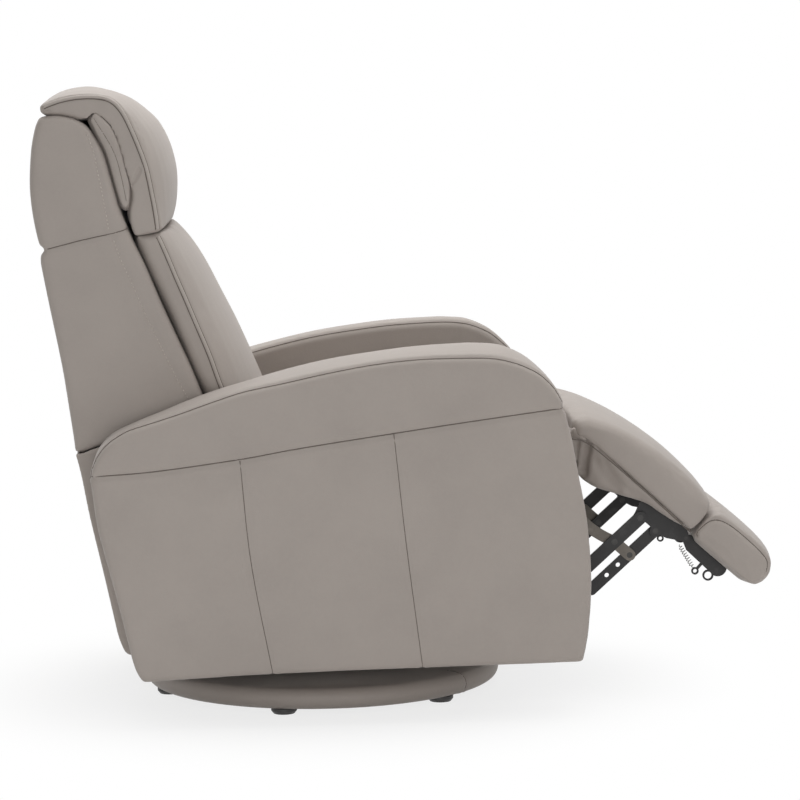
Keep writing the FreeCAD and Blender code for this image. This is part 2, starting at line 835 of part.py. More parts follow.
def sinuous_spring(y):
    """Zigzag wire along the seat: half circles joined by straight runs across it."""
    loop, half, wire = size("wire_loop"), size("wire_half_width"), size("wire_radius")
    z = size("rail_top + wire_radius")
    x, stop = size("rail_rear + rail_gauge / 2"), size("rail_front - rail_gauge / 2")
    edges, side = [], 1
    start = V(x, y - half, z)
    while x + 2 * loop <= stop:
        turn = V(x, y + side * half, z)
        edges.append(Part.LineSegment(start, turn).toShape())
        middle = V(x + loop, y + side * (half + loop), z)
        after = V(x + 2 * loop, y + side * half, z)
        reach = loop * math.sqrt(0.5)
        edges.append(Part.Arc(turn, V(x + loop - reach, y + side * (half + reach), z), middle).toShape())
        edges.append(Part.Arc(middle, V(x + loop + reach, y + side * (half + reach), z), after).toShape())
        start, side, x = after, -side, x + 2 * loop
    edges.append(Part.LineSegment(start, V(x, y + side * half, z)).toShape())
    ring = Part.Wire(Part.Circle(V(edges[0].Vertexes[0].Point), V(0, 1, 0), wire).toShape())
    return Part.Wire(edges).makePipeShell([ring], True, False)


def make_seat():
    first = -size("wire_pitch") * (SINUOUS_SPRINGS - 1) / 2
    wires = [sinuous_spring(first + size("wire_pitch") * i) for i in range(SINUOUS_SPRINGS)]
    print("least gap in a seat spring, mm:", round(2 * size("wire_loop") - 2 * size("wire_radius"), 2))
    springs = doc.addObject("Part::Feature", "seat_wires")
    springs.Shape = Part.makeCompound(wires)
    springs.Placement = FreeCAD.Placement()
    node(springs, "seat_springs")
    lift = "rail_top + 2 * wire_radius + soft_gap"
    low = [("seat_heel_x", lift), ("seat_sole_x", lift)]
    side = low + [
        "~seat_front_low_mid", "seat_front", "~seat_lip_mid", "seat_lip", "~seat_top_mid", "seat_rear_top",
    ]
    crown = low + [
        "~seat_front_low_mid", "seat_front_crown", "~seat_lip_crown_mid", "seat_lip_crown",
        "~seat_top_crown_mid", "seat_rear_crown",
    ]
    half = "arm_gap - seat_gap"
    node(cushion("seat_loft", [(side, f"-({half})"), (crown, "0"), (side, half)]), "seat_cushion")


PANEL = [
    "arm_heel", "arm_toe", "~arm_front_mid", "arm_front_top", "~arm_seam_mid", "arm_rear_top",
    "~arm_rear_mid",
]


def pad_section(station):
    names = ["~pad_nose_{}_mid", "pad_nose_{}", "~pad_long_{}_mid", "pad_peak_{}", "~pad_brow_{}_mid"]
    names += ["pad_brow_{}", "~pad_drop_{}_mid"]
    return ["arm_rear_top"] + [name.format(station) for name in names] + ["arm_front_top", "~arm_seam_mid"]


def make_arms():
    board_inner = "arm_gap + arm_inner_depth"
    board_outer = "arm_gap + arm_inner_depth + arm_board_depth"
    outer_face = f"{board_outer} + arm_outer_depth"
    boards = []
    for side in SIDES:
        sign = FACING[side]
        face = SIDES[side]
        inner = slab(
            f"inner_panel_{side}", PANEL, "arm_inner_depth", f"{sign}(arm_gap + arm_inner_depth / 2)",
        )
        node(inner, f"arm_inner_panel_{side}")
        board = slab(
            f"arm_core_{side}",
            [
                "core_heel", "core_toe", "~core_front_mid", "core_top_front", "~core_seam_mid",
                "core_top_rear", "~core_rear_mid",
            ],
            "arm_board_depth",
            f"{sign}({board_inner} + arm_board_depth / 2)",
        )
        boards.append(board)
        outer = slab(
            f"outer_panel_{side}", PANEL, "arm_outer_depth", f"{sign}({board_outer} + arm_outer_depth / 2)",
            rounding=("arm_edge_round", face),
        )
        node(outer, f"arm_outer_panel_{side}")
        stations = [
            (pad_section("inner"), f"{sign}(arm_gap + pad_side_inset)"),
            (pad_section("crest"), f"{sign}(arm_gap + {outer_face}) / 2"),
            (pad_section("outer"), f"{sign}({outer_face})"),
        ]
        node(cushion(f"arm_pad_loft_{side}", stations), f"arm_pad_{side}")
    group("arm_boards", boards)
    outline = [
        "skirt_top_rear", "~skirt_rear_mid", "skirt_low_rear", "~skirt_low_mid", "skirt_bottom",
        "skirt_bottom_front", "~skirt_front_mid", "skirt_front_top", "skirt_neck", "skirt_top_front",
    ]
    node(slab("skirt", outline, "2 * arm_gap", "0"), "rear_skirt")


SLOT_LOW = "drive_z - 2 * swing_reach * sin(slot_low_angle)"
SLOT_HIGH = "drive_z - 2 * swing_reach * sin(slot_high_angle)"
SLOT_HALF = "pin_radius + roller_wall + run_fit"


def make_side_plates():
    brow_x, brow_z = "drive_x + hub_radius * cos(45)", "drive_z + hub_radius * sin(45)"
    outline = [
        "plate_heel",
        "plate_sole",
        "plate_toe_rear",
        "plate_toe",
        ("drive_x + hub_radius", "drive_z"),
        (brow_x, brow_z, "arc"),
        ("drive_x", "drive_z + hub_radius"),
        "plate_front_top",
        "plate_rear_top",
        ("hinge_x + hinge_hub * cos(hub_front_angle)", "hinge_z + hinge_hub * sin(hub_front_angle)"),
        ("hinge_x + hinge_hub * cos(hub_rear_angle)", "hinge_z + hinge_hub * sin(hub_rear_angle)", "arc"),
        ("hinge_x + hinge_hub * cos(hub_low_angle)", "hinge_z + hinge_hub * sin(hub_low_angle)"),
    ]
    bores = [(("drive_x", "drive_z"), "drive_radius + run_fit"), (("hinge_x", "hinge_z"), "hinge_pin")]
    for side in SIDES:
        sign = FACING[side]
        plate = slab(f"plate_{side}", outline, "link_gauge", f"{sign}plate_y", bores)
        slot = slab(
            f"slot_{side}",
            [
                (f"drive_x - ({SLOT_HALF})", SLOT_LOW),
                ("drive_x", f"{SLOT_LOW} - ({SLOT_HALF})", "arc"),
                (f"drive_x + ({SLOT_HALF})", SLOT_LOW),
                (f"drive_x + ({SLOT_HALF})", SLOT_HIGH),
                ("drive_x", f"{SLOT_HIGH} + ({SLOT_HALF})", "arc"),
                (f"drive_x - ({SLOT_HALF})", SLOT_HIGH),
            ],
            "2 * link_gauge",
            f"{sign}plate_y",
        )
        node(cut(f"plate_slotted_{side}", plate, slot), f"side_plate_{side}")


def make_release():
    face = "arm_gap + pad_side_inset"
    place = ("lever_x", "lever_z")
    rear, front = f"-({face})", f"-({face} - bezel_depth)"
    ring = crossbar("bezel_disc", "bezel_radius", *place, rear, front)
    bore = crossbar("bezel_bore", "lever_shaft + run_fit", *place, rear, front)
    node(cut("bezel_ring", ring, bore), "release_bezel")
    neck_end = f"-({face} - bezel_depth - soft_gap - lever_depth / 2)"
    shaft = crossbar("lever_shaft_bar", "lever_shaft", *place, f"-({face} - soft_gap)", front)
    grip = slab(
        "lever_grip",
        [
            ("lever_x - lever_half", "lever_z"),
            ("lever_x", "lever_z - lever_half - lever_heel", "arc"),
            ("lever_x + lever_half", "lever_z"),
            ("lever_x + lever_half + lever_flare", "lever_z + lever_length - lever_half"),
            ("lever_x", "lever_z + lever_length", "arc"),
            ("lever_x - lever_half - lever_flare", "lever_z + lever_length - lever_half"),
        ],
        "lever_depth",
        neck_end,
    )
    neck = crossbar("lever_neck", "lever_shaft", *place, front, neck_end)
    node(fuse("lever_whole", shaft, neck, grip), "release_lever")


def make_back():
    hinge_y = "plate_y - layer_step"
    arms, posts, pins, gussets, straps = [], [], [], [], []
    for side in SIDES:
        sign = FACING[side]
        arms.append(
            slab(
                f"back_arm_{side}",
                [
                    ("hinge_x + hinge_hub", "hinge_z"),
                    ("hinge_x", "hinge_z - hinge_hub", "arc"),
                    ("hinge_x - hinge_hub", "hinge_z"),
                    "strut_waist_rear", "strut_neck_rear", "strut_root_rear", "strut_top_rear",
                    "strut_top_front", "strut_root_front", "strut_waist_front",
                ],
                "link_gauge",
                f"{sign}({hinge_y})",
                [(("hinge_x", "hinge_z"), "hinge_pin + run_fit")],
            )
        )
        post_outer = f"{hinge_y} - link_gauge / 2"
        low, high = both(side, f"{post_outer} - post_depth", post_outer)
        posts.append(block(f"post_{side}", "post_rear", "post_front", low, high, "post_bottom", "post_top"))
        low, high = both(side, f"{hinge_y} - link_gauge / 2 - pin_end", "plate_y + link_gauge / 2 + pin_end")
        pins.append(crossbar(f"hinge_pin_{side}", "hinge_pin", "hinge_x", "hinge_z", low, high))
        gussets.append(
            slab(
                f"gusset_{side}",
                [
                    "gusset_low", "~gusset_front_mid", "gusset_top", "~gusset_top_mid", "gusset_rear",
                    "~gusset_rear_mid",
                ],
                "gusset_depth",
                f"{sign}(back_half - gusset_depth / 2)",
            )
        )
        width = both(side, "strap_y", "strap_y + strap_width")
        front = "post_rear - back_rail_gauge"
        rear = f"{front} - strap_gauge"
        straps.append(block(f"strap_{side}", rear, front, *width, "back_rail_high", "strap_top"))
    panel = slab(
        "back_side_slab",
        [
            "shell_corner", "~shell_arc_mid", "shell_arc_end", "shell_inner_low", "shell_front_low",
            "~shell_front_mid", "shell_front_top", "shell_neck", "~shell_neck_mid", "shell_shoulder",
            "~shell_rear_mid",
        ],
        "back_side_depth",
        "back_half - back_side_depth / 2",
        rounding=("back_edge_round", SIDES["left"]),
    )
    node(panel, "back_side_left")
    mirrored = doc.addObject("Part::Mirroring", "back_side_mirrored")
    mirrored.Source = panel
    mirrored.Normal = V(0, 1, 0)
    node(mirrored, "back_side_right")
    group("back_arms", arms)
    group("back_posts", posts)
    group("back_hinge_pins", pins)
    group("head_gussets", gussets)
    rail_half = "back_half - back_side_depth"
    rails = [
        block(
            f"back_rail_{level}",
            "post_rear - back_rail_gauge",
            "post_rear",
            f"-({rail_half})",
            rail_half,
            level,
            f"{level} + back_rail_height",
        )
        for level in ("back_rail_low", "back_rail_high")
    ]
    group("back_rails", rails)
    rear = [
        "shell_corner", "rear_low_inner", "~rear_inner_mid", "rear_top_inner", "shell_neck",
        "~shell_neck_mid", "shell_shoulder", "~shell_rear_mid",
    ]
    node(slab("rear_panel", rear, f"2 * ({rail_half})", "0"), "back_rear_panel")
    side = [
        "lumbar_low_rear", "lumbar_low", "~lumbar_front_mid", "lumbar_shoulder", "~lumbar_shoulder_mid",
        "lumbar_top", "lumbar_top_rear", ("shell_front_mid_x + lumbar_gap", "shell_front_mid_z", "arc"),
    ]
    crown = [
        "lumbar_low_rear", "lumbar_low_crown", "~lumbar_front_crown_mid", "lumbar_shoulder_crown",
        "~lumbar_shoulder_crown_mid", "lumbar_top_crown", "lumbar_top_rear",
        ("shell_front_mid_x + lumbar_gap", "shell_front_mid_z", "arc"),
    ]
    stations = [(side, "-back_half"), (crown, "0"), (side, "back_half")]
    node(cushion("lumbar_loft", stations), "lumbar_cushion")
    return straps


def make_head(straps):
    low = ["block_neck", "block_front_low", "~block_front_mid", "block_front"]
    low += ["~block_brow_mid", "block_brow"]
    side = low + ["block_top", "~block_top_mid", "block_nape", "~block_nape_mid"]
    crown = low + ["block_top_crown", "~block_top_crown_mid", "block_nape_crown", "~block_nape_crown_mid"]
    whole = cushion("block_loft", [(side, "-back_half"), (crown, "0"), (side, "back_half")])
    recess_rear = "post_rear - back_rail_gauge - strap_gauge"
    hollow = block(
        "block_recess", recess_rear, "block_front_low_x + recess_over", "-recess_half", "recess_half",
        "block_neck_z - recess_over", "recess_top",
    )
    node(cut("block_hollowed", whole, hollow), "head_block")
    side = [
        "head_rear_low", "head_chin", "~head_front_mid", "head_brow", "~head_brow_mid", "head_fold",
        "head_rear_top", "~head_rear_mid",
    ]
    crown = [
        "head_rear_low", "head_chin_crown", "~head_front_crown_mid", "head_brow_crown",
        "~head_brow_crown_mid", "head_fold_crown", "head_rear_top", "~head_rear_mid",
    ]
    node(cushion("head_loft", [(side, "-head_half"), (crown, "0"), (side, "head_half")]), "head_pad")
    side = ["flap_rear", "head_rear_top", "head_fold", "~flap_top_mid", "flap_tip", "~flap_tip_mid"]
    crown = [
        "flap_rear", "head_rear_top", "head_fold_crown", "~flap_top_crown_mid", "flap_tip_crown",
        "~flap_tip_crown_mid",
    ]
    node(cushion("flap_loft", [(side, "-head_half"), (crown, "0"), (side, "head_half")]), "head_flap")
    board = ["hb_low_front", "hb_top_front", "hb_top_rear", "hb_low_rear"]
    node(slab("head_board_slab", board, "2 * head_board_half", "0"), "head_board")
    lugs, wings = [], []
    for side_name in SIDES:
        sign = FACING[side_name]
        lugs.append(
            slab(
                f"lug_{side_name}",
                [
                    "lug_root_rear",
                    "lug_root_front",
                    "lug_throat",
                    ("rod_x", "rod_z - lug_head"),
                    ("rod_x + lug_head", "rod_z", "arc"),
                    ("rod_x", "rod_z + lug_head"),
                    "lug_brow",
                ],
                "lug_gauge",
                f"{sign}(lug_y - lug_gauge / 2)",
                [(("rod_x", "rod_z"), "rod_radius")],
            )
        )
        wings.append(
            slab(
                f"wing_{side_name}",
                [
                    ("rod_x", "rod_z - lug_head"),
                    ("rod_x + lug_head", "rod_z", "arc"),
                    ("rod_x", "rod_z + lug_head"),
                    "wing_neck", "wing_low", "wing_top", "wing_top_rear", "wing_heel", "wing_toe",
                ],
                "lug_gauge",
                f"{sign}(lug_y + lug_gap + lug_gauge / 2)",
                [(("rod_x", "rod_z"), "rod_radius + run_fit")],
            )
        )
    group("head_hinge_brackets", straps + lugs)
    group("head_hinge_plates", wings)
    node(crossbar("hinge_rod", "rod_radius", "rod_x", "rod_z", "-rod_half", "rod_half"), "head_rod")


CROSS_X = "drive_x + swing_reach * cos(rest_angle)"
CROSS_Z = "drive_z - swing_reach * sin(rest_angle)"
FOOT_X = "drive_x + (swing_reach + long_reach) * cos(rest_angle)"
FOOT_Z = "drive_z - (swing_reach - long_reach) * sin(rest_angle)"
GUIDE_X = f"{FOOT_X} + guide_step * cos(rest_angle)"
GUIDE_Z = f"{FOOT_Z} - guide_step * sin(rest_angle)"
TOE_X = f"{FOOT_X} + toe_x * cos(rest_angle) + toe_z * sin(rest_angle)"
TOE_Z = f"{FOOT_Z} - toe_x * sin(rest_angle) + toe_z * cos(rest_angle)"


def link(label, rear, front, radius, middle, holes, x, z, turn):
    """Flat bar with round ends between two stations on its own X axis."""
    outline = [
        (rear, f"-({radius})"),
        (front, f"-({radius})"),
        (f"({front}) + ({radius})", "0", "arc"),
        (front, radius),
        (rear, radius),
        (f"({rear}) - ({radius})", "0", "arc"),
    ]
    return aim(slab(label, outline, "link_gauge", middle, holes), x, z, turn)


def pin(label, radius, x, z, side, inner, outer):
    low, high = both(side, inner, outer)
    return crossbar(label, radius, x, z, low, high)


def layer(step):
    """Distance from the middle plane of a link layer, counted inwards from the side plate."""
    return f"(plate_y - {step} * layer_step)"


def span(first, last):
    """Inner and outer faces across link layers."""
    return f"{layer(last)} - link_gauge / 2", f"{layer(first)} + link_gauge / 2"


def make_linkage():
    swings, swing_pins, longs, rollers, guides = [], [], [], [], []
    loose = "pin_radius + run_fit"
    for side in SIDES:
        sign = FACING[side]
        swings.append(
            aim(
                slab(
                    f"swing_{side}",
                    [
                        ("0", "-hub_radius"),
                        ("swing_reach / 2", "-link_half - swing_bow", "arc"),
                        ("swing_reach", "-link_half"),
                        ("swing_reach + guide_step", "-link_half"),
                        ("swing_reach + guide_step + link_half", "0", "arc"),
                        ("swing_reach + guide_step", "link_half"),
                        ("swing_reach", "link_half"),
                        ("swing_reach / 2", "link_half - swing_bow", "arc"),
                        ("0", "hub_radius"),
                        ("-hub_radius", "0", "arc"),
                    ],
                    "link_gauge",
                    f"{sign}{layer(2)}",
                    [
                        (("0", "0"), "drive_radius"),
                        (("swing_reach", "0"), "pin_radius"),
                        (("swing_reach + guide_step", "0"), "pin_radius"),
                    ],
                ),
                "drive_x", "drive_z", "rest_angle",
            )
        )
        longs.append(
            link(
                f"long_{side}", "-swing_reach", "long_reach", "long_half", f"{sign}{layer(1)}",
                [(("-swing_reach", "0"), "pin_radius"), (("0", "0"), loose), (("long_reach", "0"), loose)],
                CROSS_X, CROSS_Z, "-rest_angle",
            )
        )
        guides.append(
            link(
                f"guide_{side}", "-guide_tail", "0", "link_half", f"{sign}{layer(3)}",
                [
                    (("0", "0"), loose),
                    (("-long_reach", "0"), loose),
                    (("-long_reach - tail_pitch", "0"), "tail_hole"),
                    (("-long_reach - 2 * tail_pitch", "0"), "tail_hole"),
                ],
                GUIDE_X, GUIDE_Z, "-rest_angle",
            )
        )
        swing_pins.append(pin(f"cross_pin_{side}", "pin_radius", CROSS_X, CROSS_Z, side, *span(1, 2)))
        step_x = "drive_x + (swing_reach + guide_step) * cos(rest_angle)"
        step_z = "drive_z - (swing_reach + guide_step) * sin(rest_angle)"
        swing_pins.append(pin(f"step_pin_{side}", "pin_radius", step_x, step_z, side, *span(2, 3)))
        slot_x, slot_z = "drive_x", "drive_z - 2 * swing_reach * sin(rest_angle)"
        inner, outer = span(0, 1)
        shank = pin(f"slot_pin_{side}", "pin_radius", slot_x, slot_z, side, inner, outer)
        plate_inner = f"{layer(0)} - link_gauge / 2"
        wheel = pin(
            f"slot_wheel_{side}", "pin_radius + roller_wall", slot_x, slot_z, side, plate_inner, outer,
        )
        rollers.append(fuse(f"slot_roller_{side}", shank, wheel))
    group("swing_links", swings)
    group("swing_pins", swing_pins)
    group("long_links", longs)
    group("slot_rollers", rollers)
    group("guide_links", guides)
    reach = "plate_y + link_gauge / 2 + pin_end"
    node(crossbar("drive_bar", "drive_radius", "drive_x", "drive_z", f"-({reach})", reach), "drive_tube")


def slanted(item):
    """Stand a piece of the footrest in its slanted frame at the bracket pivot."""
    return aim(item, FOOT_X, FOOT_Z, "rest_angle")


def foot_cushion(label, stations):
    """Soft solid of the footrest: its sections are drawn in the slanted frame."""
    return slanted(cushion(label, stations))


def make_footrest():
    brackets, pins = [], []
    for side in SIDES:
        sign = FACING[side]
        outline = [
            ("-bracket_hub", "0"),
            ("0", "-bracket_hub", "arc"),
            ("bracket_hub", "0"),
            ("guide_step - link_half", "0"),
            ("guide_step", "-link_half", "arc"),
            ("guide_step + link_half", "0"),
            "bracket_belly",
            ("toe_x", "toe_z - toe_eye"),
            ("toe_x + toe_eye", "toe_z", "arc"),
            ("toe_x", "toe_z + toe_eye"),
            "bracket_top_front",
            "bracket_top_back",
            "bracket_back",
        ]
        holes = [
            (("0", "0"), "pin_radius"),
            (("guide_step", "0"), "pin_radius"),
            (("toe_x", "toe_z"), "toe_pin"),
        ]
        brackets.append(slanted(slab(f"bracket_{side}", outline, "link_gauge", f"{sign}{layer(2)}", holes)))
        pins.append(pin(f"foot_pin_{side}", "pin_radius", FOOT_X, FOOT_Z, side, *span(1, 2)))
        pins.append(pin(f"guide_pin_{side}", "pin_radius", GUIDE_X, GUIDE_Z, side, *span(2, 3)))
        pins.append(pin(f"toe_pin_{side}", "toe_pin", TOE_X, TOE_Z, side, *span(2, 3)))
    group("footrest_brackets", brackets)
    group("bracket_pins", pins)
    board_top = "board_line + foot_board_gauge"
    board = slab(
        "foot_board_slab",
        [
            ("foot_board_rear", "board_line"),
            ("foot_board_front", "board_line"),
            ("foot_board_front", board_top),
            ("foot_board_rear", board_top),
        ],
        "2 * foot_board_half",
        "0",
    )
    node(slanted(board), "footrest_board")


def foot_outline(station):
    """Footrest pad outline over its board; stations differ in how far the top and ends swell."""
    lift = "board_line + foot_board_gauge + soft_gap"
    low, front = [("foot_heel_x", lift)], [("foot_sole_x", lift)]
    names = ["~foot_rear{}_mid", "foot_rear{}", "~foot_top{}_mid", "foot_front{}", "~foot_front{}_mid"]
    return low + [name.format(station) for name in names] + front


def make_foot_cushions():
    stations = [
        (foot_outline(""), "-foot_half"),
        (foot_outline("_quarter"), "-(foot_half - foot_shoulder)"),
        (foot_outline("_crown"), "0"),
        (foot_outline("_quarter"), "foot_half - foot_shoulder"),
        (foot_outline(""), "foot_half"),
    ]
    node(foot_cushion("foot_loft", stations), "footrest_pad")
    wedge = slab(
        "wedge_slab",
        [
            "wedge_top_rear", "wedge_rear", "~wedge_heel_mid", "wedge_heel", "wedge_sole", "wedge_front",
            "wedge_top_front",
        ],
        "2 * foot_board_half",
        "0",
    )
    node(slanted(wedge), "footrest_wedge")


def make_toe():
    brackets = []
    for side in SIDES:
        sign = FACING[side]
        outline = [
            ("toe_x", "toe_z - toe_eye"),
            "toe_bracket_belly",
            "toe_bracket_nose",
            "~toe_bracket_nose_mid",
            "toe_bracket_top_front",
            "toe_bracket_top",
            ("toe_x", "toe_z + toe_eye"),
            ("toe_x - toe_eye", "toe_z", "arc"),
        ]
        hole = [(("toe_x", "toe_z"), "toe_pin + run_fit")]
        plate = slab(f"toe_bracket_{side}", outline, "link_gauge", f"{sign}{layer(3)}", hole)
        brackets.append(slanted(plate))
    group("toe_brackets", brackets)
    rear, front, board_top = "toe_bracket_top_x", "toe_board_front", "board_line + foot_board_gauge"
    board = slab(
        "toe_board_slab",
        [(rear, "board_line"), (front, "board_line"), (front, board_top), (rear, board_top)],
        "2 * foot_board_half",
        "0",
    )
    node(slanted(board), "toe_board")
    low = f"{board_top} + soft_gap"

    def toe_outline(swell):
        rear_top, seam = ("toe_rear_top", "toe_seam") if not swell else ("toe_rear_crown", "toe_crown")
        return [
            ("toe_heel_x", low), rear_top, f"~{rear_top}_mid", seam, f"~{seam}_mid", f"toe_brow{swell}",
            f"~toe_nose{swell}_mid", (f"toe_tip{swell}_x", low),
        ]

    stations = [(toe_outline(""), "-foot_half"), (toe_outline("_crown"), "0"), (toe_outline(""), "foot_half")]
    node(foot_cushion("toe_loft", stations), "toe_pad")


def write_parts():
    """Refuse a failed object or shape, then write one file for each sub-part."""
    doc.recompute()
    failed = [item.Name for item in doc.Objects if {"Invalid", "Error"} & set(item.State)]
    bad = [item.Label for item in nodes if item.Shape.isNull() or not item.Shape.isValid()]
    if failed or bad:
        raise SystemExit(f"failed objects {failed}, bad shapes {bad}")
    os.makedirs("parts", exist_ok=True)
    for item in nodes:
        item.Shape.exportStep(f"parts/{item.Label}.step")
    print(len(nodes), "sub-parts")


make_base()
make_swivel()
make_rocker()
make_seat_frame()
make_seat()
make_arms()
make_side_plates()
make_release()
make_head(make_back())
make_linkage()
make_footrest()
make_foot_cushions()
make_toe()
write_parts()
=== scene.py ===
import json
import math

import bmesh
import bpy
import numpy as np
from mathutils import Matrix, Vector, kdtree
from mathutils.bvhtree import BVHTree


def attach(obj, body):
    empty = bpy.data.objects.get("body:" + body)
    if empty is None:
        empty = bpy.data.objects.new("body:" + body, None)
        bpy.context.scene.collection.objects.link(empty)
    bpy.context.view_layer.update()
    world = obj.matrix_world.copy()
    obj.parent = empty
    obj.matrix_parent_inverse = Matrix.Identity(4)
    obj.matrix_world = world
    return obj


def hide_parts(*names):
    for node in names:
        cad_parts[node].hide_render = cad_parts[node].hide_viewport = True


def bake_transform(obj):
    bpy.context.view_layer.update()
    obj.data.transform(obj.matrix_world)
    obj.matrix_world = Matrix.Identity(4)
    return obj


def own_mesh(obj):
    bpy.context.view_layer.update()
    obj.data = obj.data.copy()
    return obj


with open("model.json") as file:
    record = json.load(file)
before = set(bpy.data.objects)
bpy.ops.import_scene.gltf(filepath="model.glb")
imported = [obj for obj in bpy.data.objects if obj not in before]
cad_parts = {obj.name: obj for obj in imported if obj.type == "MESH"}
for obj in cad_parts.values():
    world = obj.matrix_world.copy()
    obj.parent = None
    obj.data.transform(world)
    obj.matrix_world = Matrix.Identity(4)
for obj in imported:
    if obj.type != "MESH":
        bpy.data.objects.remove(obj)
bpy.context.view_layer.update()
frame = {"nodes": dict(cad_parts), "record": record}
NODES = frame["nodes"]

# Sizes and places are in millimetres in the frame of the CAD, and MM turns them into metres
MM = 0.001
SIDES = (("left", 1), ("right", -1))


# Materials


def new_material(name):
    mat = bpy.data.materials.new(name)
    mat.use_nodes = True
    tree = mat.node_tree
    return mat, tree, tree.nodes["Principled BSDF"]


def add(tree, kind, **settings):
    """New node, with values for its sockets or settings by name."""
    n = tree.nodes.new(kind)
    for key, value in settings.items():
        if key in n.inputs:
            n.inputs[key].default_value = value
        else:
            setattr(n, key, value)
    return n


def texture(tree, kind, **settings):
    """Texture laid out in the object's own coordinates."""
    n = add(tree, f"ShaderNodeTex{kind}", **settings)
    place = add(tree, "ShaderNodeTexCoord")
    tree.links.new(place.outputs["Object"], n.inputs["Vector"])
    return n


def combine(tree, operation, *values):
    """Result of a calculation with sockets and plain numbers."""
    n = add(tree, "ShaderNodeMath", operation=operation)
    for socket, value in zip(n.inputs, values):
        if isinstance(value, float):
            socket.default_value = value
        else:
            tree.links.new(value, socket)
    return n.outputs[0]


def colour(tree, shader, value, stops):
    """Base colour from a value, through a ramp of stops, each (place, colour)."""
    n = tree.nodes.new("ShaderNodeValToRGB")
    n.color_ramp.elements[0].position, n.color_ramp.elements[0].color = stops[0]
    n.color_ramp.elements[1].position, n.color_ramp.elements[1].color = stops[-1]
    for place, tone in stops[1:-1]:
        n.color_ramp.elements.new(place).color = tone
    tree.links.new(value, n.inputs["Fac"])
    tree.links.new(n.outputs["Color"], shader.inputs["Base Color"])


def gloss(tree, shader, value, low, high):
    """Roughness that goes from low to high with a value."""
    n = add(tree, "ShaderNodeMapRange", **{"To Min": low, "To Max": high})
    tree.links.new(value, n.inputs["Value"])
    tree.links.new(n.outputs["Result"], shader.inputs["Roughness"])


def bump(tree, shader, height, strength, distance, under=None):
    """Relief from a height, on top of another relief where there is one."""
    n = add(tree, "ShaderNodeBump", Strength=strength, Distance=distance)
    tree.links.new(height, n.inputs["Height"])
    if under:
        tree.links.new(under.outputs["Normal"], n.inputs["Normal"])
    tree.links.new(n.outputs["Normal"], shader.inputs["Normal"])
    return n


def srgb(r, g, b):
    """Colour from display values of 0 to 255."""

    def lin(c):
        c /= 255
        return c / 12.92 if c <= 0.04045 else ((c + 0.055) / 1.055) ** 2.4

    return (lin(r), lin(g), lin(b), 1)


def shade(tone, share, more=0.0):
    """A colour made darker or lighter by a share."""
    return tuple(min(1, c * share + more) for c in tone[:3]) + (1,)


def leather(name, tone, grain=1.0):
    """Smooth leather: faint clouds, a fine pebble grain and soft creases."""
    mat, tree, shader = new_material(name)
    cloud = texture(tree, "Noise", Scale=9.0, Detail=4.0, Roughness=0.55)
    speck = texture(tree, "Noise", Scale=210.0, Detail=3.0, Roughness=0.6)
    cells = texture(tree, "Voronoi", Scale=620.0)
    fine = texture(tree, "Voronoi", Scale=1500.0)
    creases = texture(tree, "Noise", Scale=26.0, Detail=5.0, Roughness=0.62, Distortion=0.7)
    clouds = combine(tree, "MULTIPLY", cloud.outputs["Fac"], 0.72)
    mixed = combine(tree, "MULTIPLY_ADD", speck.outputs["Fac"], 0.28, clouds)
    colour(tree, shader, mixed, [(0.30, shade(tone, 0.94)), (0.52, tone), (0.75, shade(tone, 1.05))])
    gloss(tree, shader, speck.outputs["Fac"], 0.46, 0.66)
    grains = combine(tree, "MULTIPLY_ADD", fine.outputs["Distance"], 0.45, cells.outputs["Distance"])
    pebble = bump(tree, shader, grains, 0.16 * grain, 0.0006)
    bump(tree, shader, creases.outputs["Fac"], 0.14 * grain, 0.003, pebble)
    shader.inputs["Sheen Weight"].default_value = 0.12
    shader.inputs["Sheen Roughness"].default_value = 0.5
    shader.inputs["Specular IOR Level"].default_value = 0.35
    return mat


def thread(name, tone):
    """Sewing thread with a fine twist."""
    mat, tree, shader = new_material(name)
    twist = texture(tree, "Noise", Scale=900.0, Detail=2.0)
    colour(tree, shader, twist.outputs["Fac"], [(0.3, shade(tone, 0.8)), (0.7, tone)])
    shader.inputs["Roughness"].default_value = 0.75
    return mat


def metal(name, tone, rough, metallic):
    """Painted or bare steel with small scratches and worn places."""
    mat, tree, shader = new_material(name)
    cloud = texture(tree, "Noise", Scale=40.0, Detail=5.0, Roughness=0.6)
    speck = texture(tree, "Noise", Scale=700.0, Detail=2.0)
    worn = shade(tone, 1.5, 0.01)
    colour(tree, shader, cloud.outputs["Fac"], [(0.35, shade(tone, 0.82)), (0.6, tone), (0.82, worn)])
    gloss(tree, shader, speck.outputs["Fac"], rough - 0.08, rough + 0.12)
    bump(tree, shader, speck.outputs["Fac"], 0.12, 0.0004)
    shader.inputs["Metallic"].default_value = metallic
    return mat


def timber(name, tone):
    """Plywood with long grain."""
    mat, tree, shader = new_material(name)
    place = add(tree, "ShaderNodeTexCoord")
    stretch = add(tree, "ShaderNodeMapping", Scale=(3.0, 22.0, 60.0))
    rings = add(tree, "ShaderNodeTexNoise", Scale=2.2, Detail=7.0, Roughness=0.65, Distortion=1.2)
    tree.links.new(place.outputs["Object"], stretch.inputs["Vector"])
    tree.links.new(stretch.outputs["Vector"], rings.inputs["Vector"])
    stops = [(0.34, shade(tone, 0.62)), (0.5, tone), (0.72, shade(tone, 1.12))]
    colour(tree, shader, rings.outputs["Fac"], stops)
    bump(tree, shader, rings.outputs["Fac"], 0.2, 0.0008)
    shader.inputs["Roughness"].default_value = 0.62
    return mat


